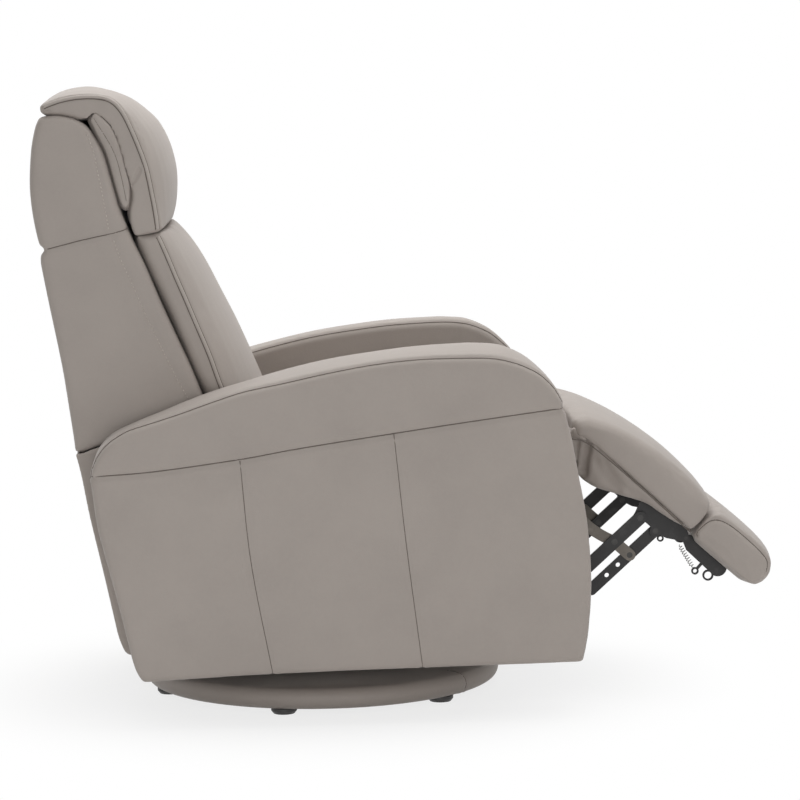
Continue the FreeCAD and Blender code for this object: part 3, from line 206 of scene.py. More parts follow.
def plastic(name, tone, rough):
    """Moulded plastic with a spark finish."""
    mat, tree, shader = new_material(name)
    spark = texture(tree, "Noise", Scale=1100.0, Detail=2.0)
    cloud = texture(tree, "Noise", Scale=30.0, Detail=3.0)
    colour(tree, shader, cloud.outputs["Fac"], [(0.3, shade(tone, 0.85)), (0.7, tone)])
    bump(tree, shader, spark.outputs["Fac"], 0.25, 0.0003)
    shader.inputs["Roughness"].default_value = rough
    return mat


HIDE = leather("leather_taupe", srgb(168, 159, 152))
# Painted highlight: a lighter copy of the hide for the raised welts
WELT_HIGHLIGHT = leather("leather_welt_highlight", srgb(176, 167, 160), grain=0.6)
# Painted shade: a dark copy of the hide, laid as thin lines in seam valleys, beside the welts and along the
# footrest crease
SEAM_SHADE = leather("leather_seam_shadow", srgb(104, 96, 89), grain=0.4)
THREAD = thread("thread_pale", srgb(208, 200, 192))
BLACK = metal("steel_black", srgb(44, 43, 43), 0.46, 0.35)
# Painted reflection: a lighter brownish grey copy of the black steel, for a link of the same mechanism whose
# glossy paint catches the light
STEEL_REFLECTION = metal("steel_painted_reflection", srgb(104, 98, 91), 0.44, 0.45)
DULL = metal("steel_gunmetal", srgb(66, 65, 64), 0.38, 0.8)
PALE = metal("steel_pale", srgb(176, 176, 174), 0.34, 0.9)
PLY = timber("plywood", srgb(186, 152, 110))
DARK = plastic("plastic_black", srgb(52, 50, 49), 0.5)

SLOT_LOOK = {
    "leather": HIDE,
    "timber": PLY,
    "dark_steel": BLACK,
    "grey_steel": STEEL_REFLECTION,
    "bright_steel": DULL,
    "plastic": DARK,
}
for part in frame["record"]["subparts"]:
    shown = NODES[part["node"]]
    shown.data.materials.clear()
    shown.data.materials.append(SLOT_LOOK[part["material_slot"]])
NODES["swivel_balls"].data.materials[0] = PALE


# Forms and covers


def new_object(name, mesh, mat):
    obj = bpy.data.objects.new(name, mesh)
    bpy.context.scene.collection.objects.link(obj)
    mesh.materials.clear()
    mesh.materials.append(mat)
    return obj


def from_bmesh(name, bm, mat):
    bmesh.ops.recalc_face_normals(bm, faces=bm.faces)
    mesh = bpy.data.meshes.new(name)
    bm.to_mesh(mesh)
    bm.free()
    return new_object(name, mesh, mat)


def curve_points(points, closed=False, step=6.0):
    """Points along a smooth curve through the given ones (Catmull-Rom), about a step apart."""
    pts = [np.array(p, float) for p in points]
    n = len(pts)
    out = []
    last = n if closed else n - 1
    for i in range(last):
        p1, p2 = pts[i], pts[(i + 1) % n]
        p0 = pts[i - 1] if closed or i > 0 else 2 * p1 - p2
        p3 = pts[(i + 2) % n] if closed or i + 2 < n else 2 * p2 - p1
        count = max(1, int(round(np.linalg.norm(p2 - p1) / step)))
        for k in range(count):
            t = k / count
            square = 2 * p0 - 5 * p1 + 4 * p2 - p3
            cube = 3 * p1 - p0 - 3 * p2 + p3
            out.append(0.5 * (2 * p1 + (p2 - p0) * t + square * t * t + cube * t**3))
    if not closed:
        out.append(pts[-1])
    return np.array(out)


def resample(points, count):
    """The same path with a count of points at equal steps."""
    pts = np.array(points, float)
    gaps = np.r_[0, np.cumsum(np.linalg.norm(np.diff(pts, axis=0), axis=1))]
    where = np.linspace(0, gaps[-1], count)
    return np.stack([np.interp(where, gaps, pts[:, k]) for k in range(pts.shape[1])], axis=1)


def outline_runs(runs, per_run):
    """Closed outline from runs of points, each run smooth in itself, with corners where the runs meet."""
    parts = [resample(curve_points(run, step=4.0), per_run)[:-1] for run in runs]
    return np.concatenate(parts)


def skin(name, sections, mat):
    """Closed mesh over sections: each is (y, outline of x and z), all in millimetres and of equal count."""
    bm = bmesh.new()
    rings = [[bm.verts.new((x * MM, y * MM, z * MM)) for x, z in outline] for y, outline in sections]
    for low, high in zip(rings, rings[1:]):
        for i in range(len(low)):
            j = (i + 1) % len(low)
            bm.faces.new((low[i], low[j], high[j], high[i]))
    for ring in (rings[0], rings[-1]):
        bm.faces.new(ring)
    bmesh.ops.triangulate(bm, faces=[f for f in bm.faces if len(f.verts) > 4])
    return from_bmesh(name, bm, mat)


def inset(outline, depth):
    """Closed outline drawn in by a depth along its own normals."""
    along = np.roll(outline, -1, 0) - np.roll(outline, 1, 0)
    inward = np.stack([-along[:, 1], along[:, 0]], axis=1)
    x, z = outline[:, 0], outline[:, 1]
    inward *= np.sign(np.sum(x * np.roll(z, -1) - np.roll(x, -1) * z))
    for _ in range(3):
        inward /= np.linalg.norm(inward, axis=1, keepdims=True) + 1e-9
        inward = (np.roll(inward, 1, 0) + 2 * inward + np.roll(inward, -1, 0)) / 4
    return outline + inward * depth


RIM_STEPS = 6


def pillow(name, shape, y0, y1, roll, mat, stations=19, ease=1.0):
    """Closed form across Y, its side outline shape(s) for s from -1 to 1, with rolled rims at both ends."""
    width = abs(y1 - y0)
    way = math.copysign(1, y1 - y0)
    bends = [math.pi / 2 * (1 - k / RIM_STEPS) for k in range(RIM_STEPS)]
    rims = [(roll * (1 - math.sin(a)), roll * (1 - math.cos(a))) for a in bends]
    level = [(d, 0) for d in np.linspace(roll, width - roll, stations)]
    places = rims + level + [(width - d, r) for d, r in rims[::-1]]
    sections = [(y0 + way * d, inset(shape(2 * d / width - 1), r * ease)) for d, r in places]
    return skin(name, sections, mat)


def eased(shares, per_run):
    """Share of the roll for each point of an outline made of runs."""
    ease = np.repeat(np.array(shares, float), per_run - 1)
    for _ in range(8):
        ease = (np.roll(ease, 1) + 2 * ease + np.roll(ease, -1)) / 4
    return ease[:, None]


def crown(side, mid, power=2.6):
    """Side outline that swells to the middle outline between the ends."""
    return lambda s: side + (mid - side) * max(0, 1 - abs(s) ** power) ** 0.74


def same(outline):
    """One side outline all the way across."""
    return lambda s: outline


def prism(name, outline, y0, y1, mat):
    """Straight form across Y."""
    return skin(name, [(y0, outline), (y1, outline)], mat)


def split_off(obj, name, outline, half):
    """Cut a piece in two along an outline: the new piece is what lies inside it."""
    cutter = prism("cutter", outline, -half, half, HIDE)
    inner = new_object(name, obj.data.copy(), HIDE)
    for piece, operation in ((inner, "INTERSECT"), (obj, "DIFFERENCE")):
        m = piece.modifiers.new("part", "BOOLEAN")
        m.operation, m.solver, m.object = operation, "EXACT", cutter
        apply_modifiers(piece)
        piece.data.set_sharp_from_angle(angle=math.radians(50))
    bpy.data.objects.remove(cutter)
    return inner


def shade_smooth(obj):
    for poly in obj.data.polygons:
        poly.use_smooth = True


def apply_modifiers(obj):
    with bpy.context.temp_override(object=obj, active_object=obj, selected_objects=[obj]):
        for modifier in list(obj.modifiers):
            bpy.ops.object.modifier_apply(modifier=modifier.name)


def remesh(obj, voxel, rounds):
    """Even faces of about a voxel's size, smoothed for a number of rounds."""
    m = obj.modifiers.new("remesh", "REMESH")
    m.mode, m.voxel_size = "VOXEL", voxel * MM
    s = obj.modifiers.new("smooth", "SMOOTH")
    s.factor, s.iterations = 0.5, rounds
    apply_modifiers(obj)
    shade_smooth(obj)


def coords(obj):
    """A piece's points in metres, one row each."""
    co = np.empty(len(obj.data.vertices) * 3)
    obj.data.vertices.foreach_get("co", co)
    return co.reshape(-1, 3)


def put_coords(obj, co):
    obj.data.vertices.foreach_set("co", np.ascontiguousarray(co).ravel())
    obj.data.update()


def normals(obj):
    no = np.empty(len(obj.data.vertices) * 3)
    obj.data.vertices.foreach_get("normal", no)
    return no.reshape(-1, 3)


SWELL_FRAMES = 20


def swell(obj, cap, pressure):
    """Inflate the cover like a stuffed pad, and keep each point within a cap of where it was."""
    scene = bpy.context.scene
    before = coords(obj)
    cloth = obj.modifiers.new("cloth", "CLOTH")
    cloth.settings.use_pressure = True
    cloth.settings.uniform_pressure_force = pressure
    cloth.settings.effector_weights.gravity = 0
    cloth.settings.quality = 4
    cloth.collision_settings.use_collision = False
    cloth.point_cache.frame_start, cloth.point_cache.frame_end = 1, SWELL_FRAMES
    for f in range(1, SWELL_FRAMES + 1):
        scene.frame_set(f)
    depsgraph = bpy.context.evaluated_depsgraph_get()
    shown = obj.evaluated_get(depsgraph).to_mesh()
    after = np.empty(len(shown.vertices) * 3)
    shown.vertices.foreach_get("co", after)
    after = after.reshape(-1, 3)
    obj.evaluated_get(depsgraph).to_mesh_clear()
    obj.modifiers.remove(cloth)
    scene.frame_set(1)
    move = after - before
    length = np.linalg.norm(move, axis=1, keepdims=True)
    limit = cap * MM
    put_coords(obj, before + move * np.where(length > limit, limit / np.maximum(length, 1e-9), 1))


def refine(obj):
    """Finer and rounder faces."""
    m = obj.modifiers.new("fine", "SUBSURF")
    m.levels = m.render_levels = 1
    apply_modifiers(obj)
    shade_smooth(obj)


def keep_within(obj, axis, low, high):
    """Stop a cover at flat limits along an axis, as its neighbours do."""
    co = coords(obj)
    k = "xyz".index(axis)
    co[:, k] = np.clip(co[:, k], low * MM, high * MM)
    put_coords(obj, co)


def tree_of(obj):
    bm = bmesh.new()
    bm.from_mesh(obj.data)
    tree = BVHTree.FromBMesh(bm)
    bm.free()
    return tree


RAY_START = 400


def on_surface(obj, points, lift=0.0, way=None):
    """Points brought to the nearest place on a piece, or along a way from outside it, with normals."""
    tree = tree_of(obj)
    placed, faces = [], []
    for p in points:
        p = Vector(p) * MM
        if way is None:
            at, no, _, _ = tree.find_nearest(p)
        else:
            w = Vector(way).normalized()
            at, no, _, _ = tree.ray_cast(p - w * RAY_START * MM, w)
            if at is None:
                at, no, _, _ = tree.find_nearest(p)
        placed.append(at + no * lift * MM)
        faces.append(no)
    return placed, faces


PUCKER_REACH, PUCKER_STEP, PUCKER_FADE, PUCKER_START = 34, 19.0, 11, 4


def valley(obj, path, width, depth, ridge=0.0, pucker=0.0):
    """Draw the cover in along a path, as a seam does, with a soft swell and small puckers beside it."""
    finder = kdtree.KDTree(len(path))
    run = 0.0
    runs = []
    for i, p in enumerate(path):
        run += (p - path[i - 1]).length / MM if i else 0
        runs.append(run)
        finder.insert(p, i)
    finder.balance()
    co, no = coords(obj), normals(obj)
    reach = max(width * 4, PUCKER_REACH if pucker else 0) * MM
    for i in range(len(co)):
        _, k, d = finder.find(co[i])
        if d < reach:
            mm = d / MM
            d = mm / width
            move = ridge * math.exp(-((d - 2) ** 2)) - depth * math.exp(-d * d)
            if pucker:
                phase = runs[k] / PUCKER_STEP
                wave = math.sin(phase * 6.283) + 0.7 * math.sin(phase * 4.13 + 1.3)
                move += pucker * wave * math.exp(-mm / PUCKER_FADE) * (1 - math.exp(-mm / PUCKER_START))
            co[i] += no[i] * MM * move
    put_coords(obj, co)


def tube(name, points, radius, mat, sides=8, closed=False):
    """Round welt along points in metres."""
    pts = [Vector(p) for p in points]
    bm = bmesh.new()
    rings = []
    n = len(pts)
    up = Vector((0, 0, 1))
    for i in range(n):
        ahead = pts[(i + 1) % n] if closed else pts[min(i + 1, n - 1)]
        behind = pts[i - 1] if closed or i else pts[0]
        t = (ahead - behind).normalized()
        side = t.cross(up)
        if side.length < 1e-3:
            side = t.cross(Vector((1, 0, 0)))
        side.normalize()
        up = side.cross(t).normalized()
        spokes = [side * math.cos(a) + up * math.sin(a) for a in (math.tau * k / sides for k in range(sides))]
        rings.append([bm.verts.new(pts[i] + spoke * radius * MM) for spoke in spokes])
    for i in range(n if closed else n - 1):
        low, high = rings[i], rings[(i + 1) % n]
        for k in range(sides):
            bm.faces.new((low[k], low[(k + 1) % sides], high[(k + 1) % sides], high[k]))
    if not closed:
        bm.faces.new(rings[0])
        bm.faces.new(rings[-1])
    obj = from_bmesh(name, bm, mat)
    shade_smooth(obj)
    return obj


STITCH, STITCH_GAP, STITCH_RADIUS, STITCH_LIFT, STITCH_ROOT = 4.4, 2.4, 1.1, 0.6, 0.2


def stitches(name, points, faces, mat):
    """Row of short stitches lying on a surface along points in metres."""
    pts = np.array(points)
    out = np.array(faces)
    run = np.r_[0, np.cumsum(np.linalg.norm(np.diff(pts, axis=0), axis=1))] / MM
    bm = bmesh.new()
    s = STITCH_GAP
    while s + STITCH < run[-1]:
        ends = []
        for d in (s, s + STITCH / 2, s + STITCH):
            p = np.array([np.interp(d, run, pts[:, k]) for k in range(3)])
            o = np.array([np.interp(d, run, out[:, k]) for k in range(3)])
            o /= np.linalg.norm(o) + 1e-9
            ends.append((p, o))
        (a, oa), (m, om), (b, ob) = ends
        t = b - a
        t /= np.linalg.norm(t) + 1e-9
        w = np.cross(om, t)
        low_a, low_b = a - oa * STITCH_ROOT * MM, b - ob * STITCH_ROOT * MM
        top = m + om * (STITCH_LIFT + STITCH_RADIUS) * MM
        sides = (m + w * STITCH_RADIUS * MM, m - w * STITCH_RADIUS * MM)
        v = [bm.verts.new(p) for p in (low_a, low_b, top, *sides)]
        for tri in ((0, 3, 2), (3, 1, 2), (1, 4, 2), (4, 0, 2), (0, 4, 3), (3, 4, 1)):
            bm.faces.new([v[i] for i in tri])
        s += STITCH + STITCH_GAP
    return from_bmesh(name, bm, mat)


def finish_piece(obj, body, *nodes, fill=None, slot="leather"):
    """Put a piece on its body, with the nodes that it stands for; fill, how full its padding is, is not used.
    """
    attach(obj, body)
    if nodes:
        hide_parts(*nodes)
    return obj


SEAM_SINK = 0.2


def seam(obj, body, name, points, way=None, wrap=(), width=3, depth=2.2, ridge=0.6, line=0.9, pucker=0):
    """Sewn seam on a piece: a valley with a dark line of painted shade in it, which wrap carries on round an
    edge.
    """
    dense = [tuple(p) for p in curve_points(points, step=4.0)]
    more = [tuple(p) for p in curve_points([points[-1], *wrap], step=4.0)][1:] if wrap else []

    def placed():
        return on_surface(obj, dense, way=way)[0] + on_surface(obj, more)[0]

    valley(obj, placed(), width, depth, ridge, pucker)
    path = smooth_path(placed(), 4)
    joint, faces = on_surface(obj, [tuple(p / MM) for p in path])
    joint = [p - n * line * SEAM_SINK * MM for p, n in zip(joint, faces)]
    finish_piece(tube(name, joint, line, SEAM_SHADE, sides=6), body)


def smooth_path(path, rounds):
    """A path with its ends kept and small kinks taken out."""
    for _ in range(rounds):
        inner = [(path[i - 1] + path[i] * 2 + path[i + 1]) / 4 for i in range(1, len(path) - 1)]
        path = [path[0], *inner, path[-1]]
    return path


def topstitch(obj, body, name, points, way):
    """Row of stitches that draws the cover in a little."""
    dense = [tuple(p) for p in curve_points(points, step=5.0)]
    path, _ = on_surface(obj, dense, way=way)
    valley(obj, path, 4, 1.2, 0.3)
    path, faces = on_surface(obj, dense, way=way)
    finish_piece(stitches(name, path, faces, THREAD), body)


def at_side(points, y):
    """Points of the side view, each as (x, z), at one place across."""
    return [(x, y, z) for x, z in points]


def crease(obj, points, way, width, depth, ridge=0.0):
    """Valley without a seam, pressed in along points."""
    path, _ = on_surface(obj, curve_points(points, step=3.0), way=way)
    valley(obj, path, width, depth, ridge)


WELT_RADIUS, LINE_RADIUS, LINE_GAP = 3.1, 0.9, 0.3


def welt(obj, body, name, points):
    """Raised fell seam along a piece's edge, in a lighter copy of the hide as a painted highlight, with a
    dark line of painted shade on each side of it.
    """
    dense = [tuple(p) for p in curve_points(points, step=5.0)]
    path, faces = on_surface(obj, dense)
    path = smooth_path(path, 8)
    valley(obj, path, 3.4, 1.4, 0.5)
    finish_piece(tube(name, path, WELT_RADIUS, WELT_HIGHLIGHT), body)
    for k, shift in enumerate((-1, 1)):
        beside = []
        for i, p in enumerate(path):
            along = path[min(i + 1, len(path) - 1)] - path[max(i - 1, 0)]
            across = along.cross(faces[i]).normalized()
            beside.append(p + across * shift * (WELT_RADIUS + LINE_GAP) * MM)
        placed, _ = on_surface(obj, [tuple(p / MM) for p in beside], lift=0.2)
        line = tube(f"{name}_line_{k}", smooth_path(placed, 6), LINE_RADIUS, SEAM_SHADE, sides=6)
        finish_piece(line, body)


# Arms: outlines of the outer face, the crest and the inner face, and the seams on them

ARM_INSIDE, ARM_OUTSIDE, ARM_ROLL = 270.5, 388.5, 9
# Planes at the arm's outer and inner face, from which its seams are laid on
BESIDE_ARM, WITHIN_ARM = 389, 271
# The outer band between the lower and the top seam swells a little
BAND_SWELL, BAND_FROM, BAND_FADE = 5, 370, 15
ARM_SOLE = [(-309, 80), (-100, 88), (150, 92), (415, 95)]
ARM_FRONT = [
    (415, 95), (424, 140), (429, 196), (430, 245), (424, 330), (411, 403), (400, 465), (392, 498),
    (386, 518),
]
ARM_REAR = [(-387, 420), (-378.5, 345), (-367.5, 295), (-343, 195), (-323, 108), (-309, 80)]
BROW_SEAM = [
    (386, 518), (383, 530), (373, 549), (362, 562), (348, 575), (333, 584), (310, 594), (274, 603),
    (222, 605),
]
LONG_SEAM = [
    (222, 605), (149, 604), (76, 597), (4, 585), (-69, 570), (-135, 557), (-184, 542), (-234, 525),
    (-272, 513), (-299, 505), (-324, 497),
]
NOSE_SEAM = [(-324, 497), (-344, 486), (-360, 474), (-374, 456), (-382, 438), (-387, 420)]
CREST_BROW = [
    (386, 518), (384, 536), (378, 547), (367, 563), (352, 579), (334, 594), (319, 603), (301, 611),
    (279, 617), (238, 619.5),
]
CREST_LONG = [
    (238, 619.5), (154, 616), (80, 608), (6, 597), (-67, 581), (-134, 563), (-184, 548.5), (-234, 531),
    (-272, 516), (-300, 506), (-318, 498.5),
]
CREST_NOSE = [(-318, 498.5), (-343, 487), (-359, 475), (-374, 459), (-383, 438), (-387, 420)]
INNER_BROW = [
    (386, 518), (383, 535), (377, 546), (366, 562), (351, 577), (333, 592), (318, 600.5), (300, 608),
    (278, 613.5), (236, 616),
]
INNER_LONG = [
    (236, 616), (154, 612.5), (80, 604.5), (6, 593.5), (-67, 577.5), (-134, 559.5), (-184, 545),
    (-234, 527.5), (-272, 512.5), (-300, 502.5), (-318, 495),
]
INNER_NOSE = [(-318, 495), (-343, 484), (-359, 473), (-373, 457), (-383, 437), (-387, 420)]
LOWER_SEAM = [(-384, 421), (-285, 427), (-145, 444), (-46, 460), (105, 481), (225, 497), (384, 517)]
TOP_SEAM = NOSE_SEAM[:0:-1] + LONG_SEAM[::-1] + BROW_SEAM[-2::-1]
INNER_SEAM = (INNER_NOSE[:0:-1] + INNER_LONG[::-1] + INNER_BROW[-2:1:-1])[3:]
# How the panel seams go on under the hem, and the lower seam round the arm's front
HEM = [(382, -5), (372, -6)]
BRINK = [(389, 380), (390, 366), (390, 300), (388, 276)]
BRINK_Z = 518
PANEL_SEAMS = [[(-144, 442), (-129, 275), (-97, 91)], [(107, 481), (125, 298), (149, 96)]]


def arm_outline(brow, long_run, nose):
    return outline_runs([ARM_SOLE, ARM_FRONT, brow, long_run, nose, ARM_REAR], 40)


ARM_OUTER = arm_outline(BROW_SEAM, LONG_SEAM, NOSE_SEAM)
ARM_CREST = arm_outline(CREST_BROW, CREST_LONG, CREST_NOSE)
ARM_INNER = arm_outline(INNER_BROW, INNER_LONG, INNER_NOSE)


def arm_shape(s):
    """Side outline from the inner face, s = -1, over the crest to the outer face, s = 1."""
    level = ARM_INNER + (ARM_OUTER - ARM_INNER) * (s + 1) / 2
    return level + (ARM_CREST - (ARM_INNER + ARM_OUTER) / 2) * max(0, 1 - abs(s) ** 2.2) ** 0.8


for side, sign in SIDES:
    arm = pillow(f"arm_cover_{side}", arm_shape, sign * ARM_INSIDE, sign * ARM_OUTSIDE, ARM_ROLL, HIDE)
    remesh(arm, 4.5, 5)
    co = coords(arm)
    low = np.interp(co[:, 0] / MM, *zip(*LOWER_SEAM))
    high = np.interp(co[:, 0] / MM, *zip(*TOP_SEAM))
    rise = np.clip((co[:, 2] / MM - low) / np.maximum(high - low, 1), 0, 1)
    face = np.clip((np.abs(co[:, 1]) / MM - BAND_FROM) / BAND_FADE, 0, 1)
    co[:, 1] += sign * BAND_SWELL * MM * 4 * rise * (1 - rise) * face
    put_coords(arm, co)
    outside, inside = (0, -sign, 0), (0, sign, 0)
    covered = [f"{node}_{side}" for node in ("arm_outer_panel", "arm_inner_panel", "arm_pad")]
    finish_piece(arm, "chair", *covered, fill=0.75)
    for k, run in enumerate(PANEL_SEAMS):
        points = at_side(run, sign * BESIDE_ARM)
        end_x, end_z = run[-1]
        hem = [(end_x, sign * y, end_z + drop) for y, drop in HEM]
        seam(arm, "chair", f"arm_panel_seam_{side}_{k}", points, outside, hem, width=3.5, depth=1.2, line=0.7)
    lower = at_side(LOWER_SEAM, sign * BESIDE_ARM)
    brink = [(x, sign * y, BRINK_Z) for x, y in BRINK]
    seam(arm, "chair", f"arm_lower_seam_{side}", lower, outside, brink, width=5, depth=2.0, line=1.1)
    top = [(x, sign * BESIDE_ARM, z - 3) for x, z in TOP_SEAM[:-1]]
    seam(arm, "chair", f"arm_top_seam_{side}", top, way=outside, width=4, depth=1.4, line=1.0)
    inner = [(x, sign * WITHIN_ARM, z - 3.5) for x, z in INNER_SEAM]
    seam(arm, "chair", f"arm_inner_seam_{side}", inner, way=inside, width=4, depth=1.4, line=1.0)

# Seat

SEAT_HALF, SEAT_REAR, SEAT_FRONT, SEAT_LOW, SEAT_TOP, LIP_X = 269.5, -150, 359, 404, 508, 296
seat = new_object("seat_cover", NODES["seat_cushion"].data.copy(), HIDE)
remesh(seat, 6, 5)
swell(seat, 24, pressure=4.0)
keep_within(seat, "y", -SEAT_HALF, SEAT_HALF)
keep_within(seat, "x", SEAT_REAR, SEAT_FRONT)
keep_within(seat, "z", SEAT_LOW, SEAT_TOP)
refine(seat)
finish_piece(seat, "chair", "seat_cushion", fill=0.8)
lip = [(LIP_X, y, 480) for y in range(-262, 263, 4)]
seam(seat, "chair", "seat_lip_seam", lip, way=(0, 0, -1), width=4, depth=2.4, ridge=0.6, line=1.0, pucker=0.7)

# Rear skirt, and the cheeks that close the corner between it and the back

SKIRT_HALF, CHEEK_INSIDE = 270, 264
SKIRT = outline_runs(
    [
        [
            (-414.5, 445), (-411, 432), (-405, 405), (-394.5, 345), (-382.5, 288), (-371.5, 237),
            (-357.5, 169), (-350, 134), (-341, 111),
        ],
        [(-341, 111), (-331, 104), (-304, 103)],
        [(-304, 103), (-318, 220), (-352, 340), (-384, 384), (-403, 430)],
        [(-403, 430), (-404, 443), (-414.5, 445)],
    ],
    30,
)
skirt = pillow("rear_skirt_cover", same(SKIRT), -SKIRT_HALF, SKIRT_HALF, 4, HIDE, stations=7)
remesh(skirt, 4, 3)
finish_piece(skirt, "chair", "rear_skirt", fill=0.5)
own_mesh(skirt)

CHEEK = outline_runs(
    [
        [(-414.5, 445), (-411, 432), (-405, 405), (-394.5, 345), (-382.5, 288)],
        [(-382.5, 288), (-340, 288)],
        [(-340, 288), (-340, 462)],
        [(-340, 462), (-378, 455), (-401, 447), (-414.5, 445)],
    ],
    24,
)
for side, sign in SIDES:
    y0, y1 = sign * CHEEK_INSIDE, sign * SKIRT_HALF
    cheek = pillow(f"rear_skirt_cheek_{side}", same(CHEEK), y0, y1, 2, HIDE, stations=3)
    remesh(cheek, 2.5, 2)
    finish_piece(cheek, "chair", fill=0.3)

# Rocker springs between the turntable and the chair

coils = new_object("rocker_coils", NODES["rocker_springs"].data.copy(), PALE)
levels = coords(coils)[:, 2]
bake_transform(coils)
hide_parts("rocker_springs")

# Base

BASE_SPREAD = 1.015
BASE_RIM = [(297, 12), (306, 28), (297, 45), (270, 49)]
cover = new_object("base_wrap", NODES["base_cover"].data.copy(), HIDE)
remesh(cover, 4, 4)
co = coords(cover)
co[:, :2] *= BASE_SPREAD
put_coords(cover, co)
finish_piece(cover, "base", "base_cover", fill=0.4)
for k, a in enumerate((math.radians(-40), math.radians(140))):
    rim = [(r * math.cos(a), r * math.sin(a), z) for r, z in BASE_RIM]
    seam(cover, "base", f"base_wrap_seam_{k}", rim, width=3, depth=1.6, line=0.8, pucker=0.5)

# Back shell with the head block, and the wing under it

BACK_HALF, BACK_LIMIT, BACK_ROLL, PAST_SIDE = 262.5, 264, 11, 300
BACK_REAR = [
    (-415, 446), (-417, 468), (-425, 529), (-432, 580), (-440, 626), (-451, 685), (-461, 741),
    (-464.5, 764), (-463, 776), (-454, 784.5),
]
BLOCK_FRONT = [
    (-404, 998.5), (-388, 990), (-379, 981), (-367, 962), (-357, 942), (-350, 918), (-340, 879),
    (-332, 849), (-321, 819),
]
BACK_FRONT = [
    (-321, 819), (-312, 797), (-292, 754), (-267, 692), (-241, 632), (-219, 582), (-203, 540),
    (-178, 473),
]
BACK_FOOT = [(-262, 473), (-300, 472), (-340, 464), (-378, 455), (-401, 447), (-415, 446)]


def back_outline(nape, roof):
    sole = [BACK_FRONT[-1], BACK_FOOT[0]]
    return outline_runs([BACK_REAR, nape, roof, BLOCK_FRONT, BACK_FRONT, sole, BACK_FOOT], 40)


BACK_SIDE = back_outline(
    [
        (-454, 784.5), (-465, 793), (-473, 832), (-477, 870), (-477.5, 901), (-474.5, 945), (-470.5, 970),
        (-466, 988), (-460, 1001),
    ],
    [(-460, 1001), (-439, 1004), (-423, 1003), (-404, 998.5)],
)
BACK_MID = back_outline(
    [
        (-454, 784.5), (-467, 793), (-477, 832), (-482, 870), (-482.5, 901), (-479, 945), (-474, 970),
        (-469, 988), (-462, 1002),
    ],
    [(-462, 1002), (-439, 1005), (-423, 1004), (-404, 998.5)],
)
BACK_EASE = eased([1, 1, 1, 1, 1, 0.3, 0.3], 40)
BACK_SHAPE = crown(BACK_SIDE, BACK_MID, 4)
shell = pillow("back_shell", BACK_SHAPE, -BACK_HALF, BACK_HALF, BACK_ROLL, HIDE, ease=BACK_EASE)
remesh(shell, 4.5, 3)
keep_within(shell, "y", -BACK_LIMIT, BACK_LIMIT)
NOTCH = np.array([
    (-440, 420), (-415.5, 440), (-371, 485), (-340, 505), (-308, 519), (-266, 474.5), (-240, 440),
    (-240, 420),
])
wing = split_off(shell, "back_wing", NOTCH, PAST_SIDE)
finish_piece(shell, "back", "back_side_left", "back_side_right", "back_rear_panel", "head_block", fill=0.6)
finish_piece(wing, "back", fill=0.3)
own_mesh(wing)
across = [(-462, y, 784.5) for y in range(-248, 249, 8)]
seam(shell, "back", "neck_seam_rear", across, way=(1, 0, 0), width=5, depth=3, ridge=0.8, line=1.2)

# Lumbar cushion

PAD_HALF, LUMBAR_LIMIT, LUMBAR_LOW, LUMBAR_TOP = 258, 262, 473, 827
LUMBAR_SIDE = outline_runs(
    [
        [(-163, 474), (-139, 474)],
        [
            (-139, 474), (-170, 551), (-187, 602), (-206, 650), (-225, 698), (-240, 734), (-254, 770),
            (-263, 792), (-270, 809),
        ],
        [(-270, 809), (-304, 804)],
        [(-304, 804), (-278, 741), (-251, 681), (-227, 621), (-209, 576), (-192, 540), (-163, 474)],
    ],
    26,
)
LUMBAR_MID = outline_runs(
    [
        [(-184, 474), (-74, 474)],
        [(-74, 474), (-103, 550), (-140, 637), (-170, 698), (-195, 748), (-220, 787), (-248, 820)],
        [(-248, 820), (-280, 808), (-322, 807)],
        [(-322, 807), (-300, 755), (-270, 685), (-245, 628), (-222, 570), (-184, 474)],
    ],
    26,
)
lumbar = pillow("lumbar_cover", crown(LUMBAR_SIDE, LUMBAR_MID, 2.6), -PAD_HALF, PAD_HALF, 7, HIDE)
remesh(lumbar, 6, 3)
swell(lumbar, 3, pressure=3.0)
keep_within(lumbar, "z", LUMBAR_LOW, LUMBAR_TOP)
keep_within(lumbar, "y", -LUMBAR_LIMIT, LUMBAR_LIMIT)
refine(lumbar)
finish_piece(lumbar, "back", "lumbar_cushion", fill=0.8)

# Headrest, its leaves, and the seams and welts of the back

HEAD_LIMIT, HEAD_LOW, HEAD_TOP = 263, 801, 1056
HEAD_UNDER = [(-457, 1004), (-425, 1003), (-400, 999), (-384, 998)]
HEAD_REAR = [
    (-373, 1013), (-343, 989), (-327, 948), (-320, 916), (-313.5, 891), (-314, 866), (-319, 842),
    (-318, 824), (-311, 803),
]
HEAD_SIDE = outline_runs(
    [
        [(-311, 803), (-290, 806), (-269, 809)],
        [
            (-269, 809), (-276, 856), (-284, 905), (-292, 935), (-312, 988), (-324, 1011), (-333, 1024),
            (-346, 1033),
        ],
        [(-346, 1033), (-374, 1036), (-401, 1035), (-428, 1030), (-456, 1020)],
        [(-456, 1020), (-460, 1013), (-457, 1004)],
        HEAD_UNDER,
        [(-384, 998), (-373, 1013)],
        HEAD_REAR,
    ],
    24,
)
HEAD_MID = outline_runs(
    [
        [(-311, 803), (-280, 808), (-247, 823)],
        [
            (-247, 823), (-242, 857), (-241, 905), (-251, 950), (-267, 984), (-283, 1003), (-316, 1029),
            (-349, 1043),
        ],
        [(-349, 1043), (-388, 1050), (-431, 1042), (-464, 1021)],
        [(-464, 1021), (-466, 1013), (-459, 1003)],
        [(-459, 1003), (-425, 1001), (-400, 996), (-384, 996)],
        [(-384, 996), (-373, 1013)],
        HEAD_REAR,
    ],
    24,
)
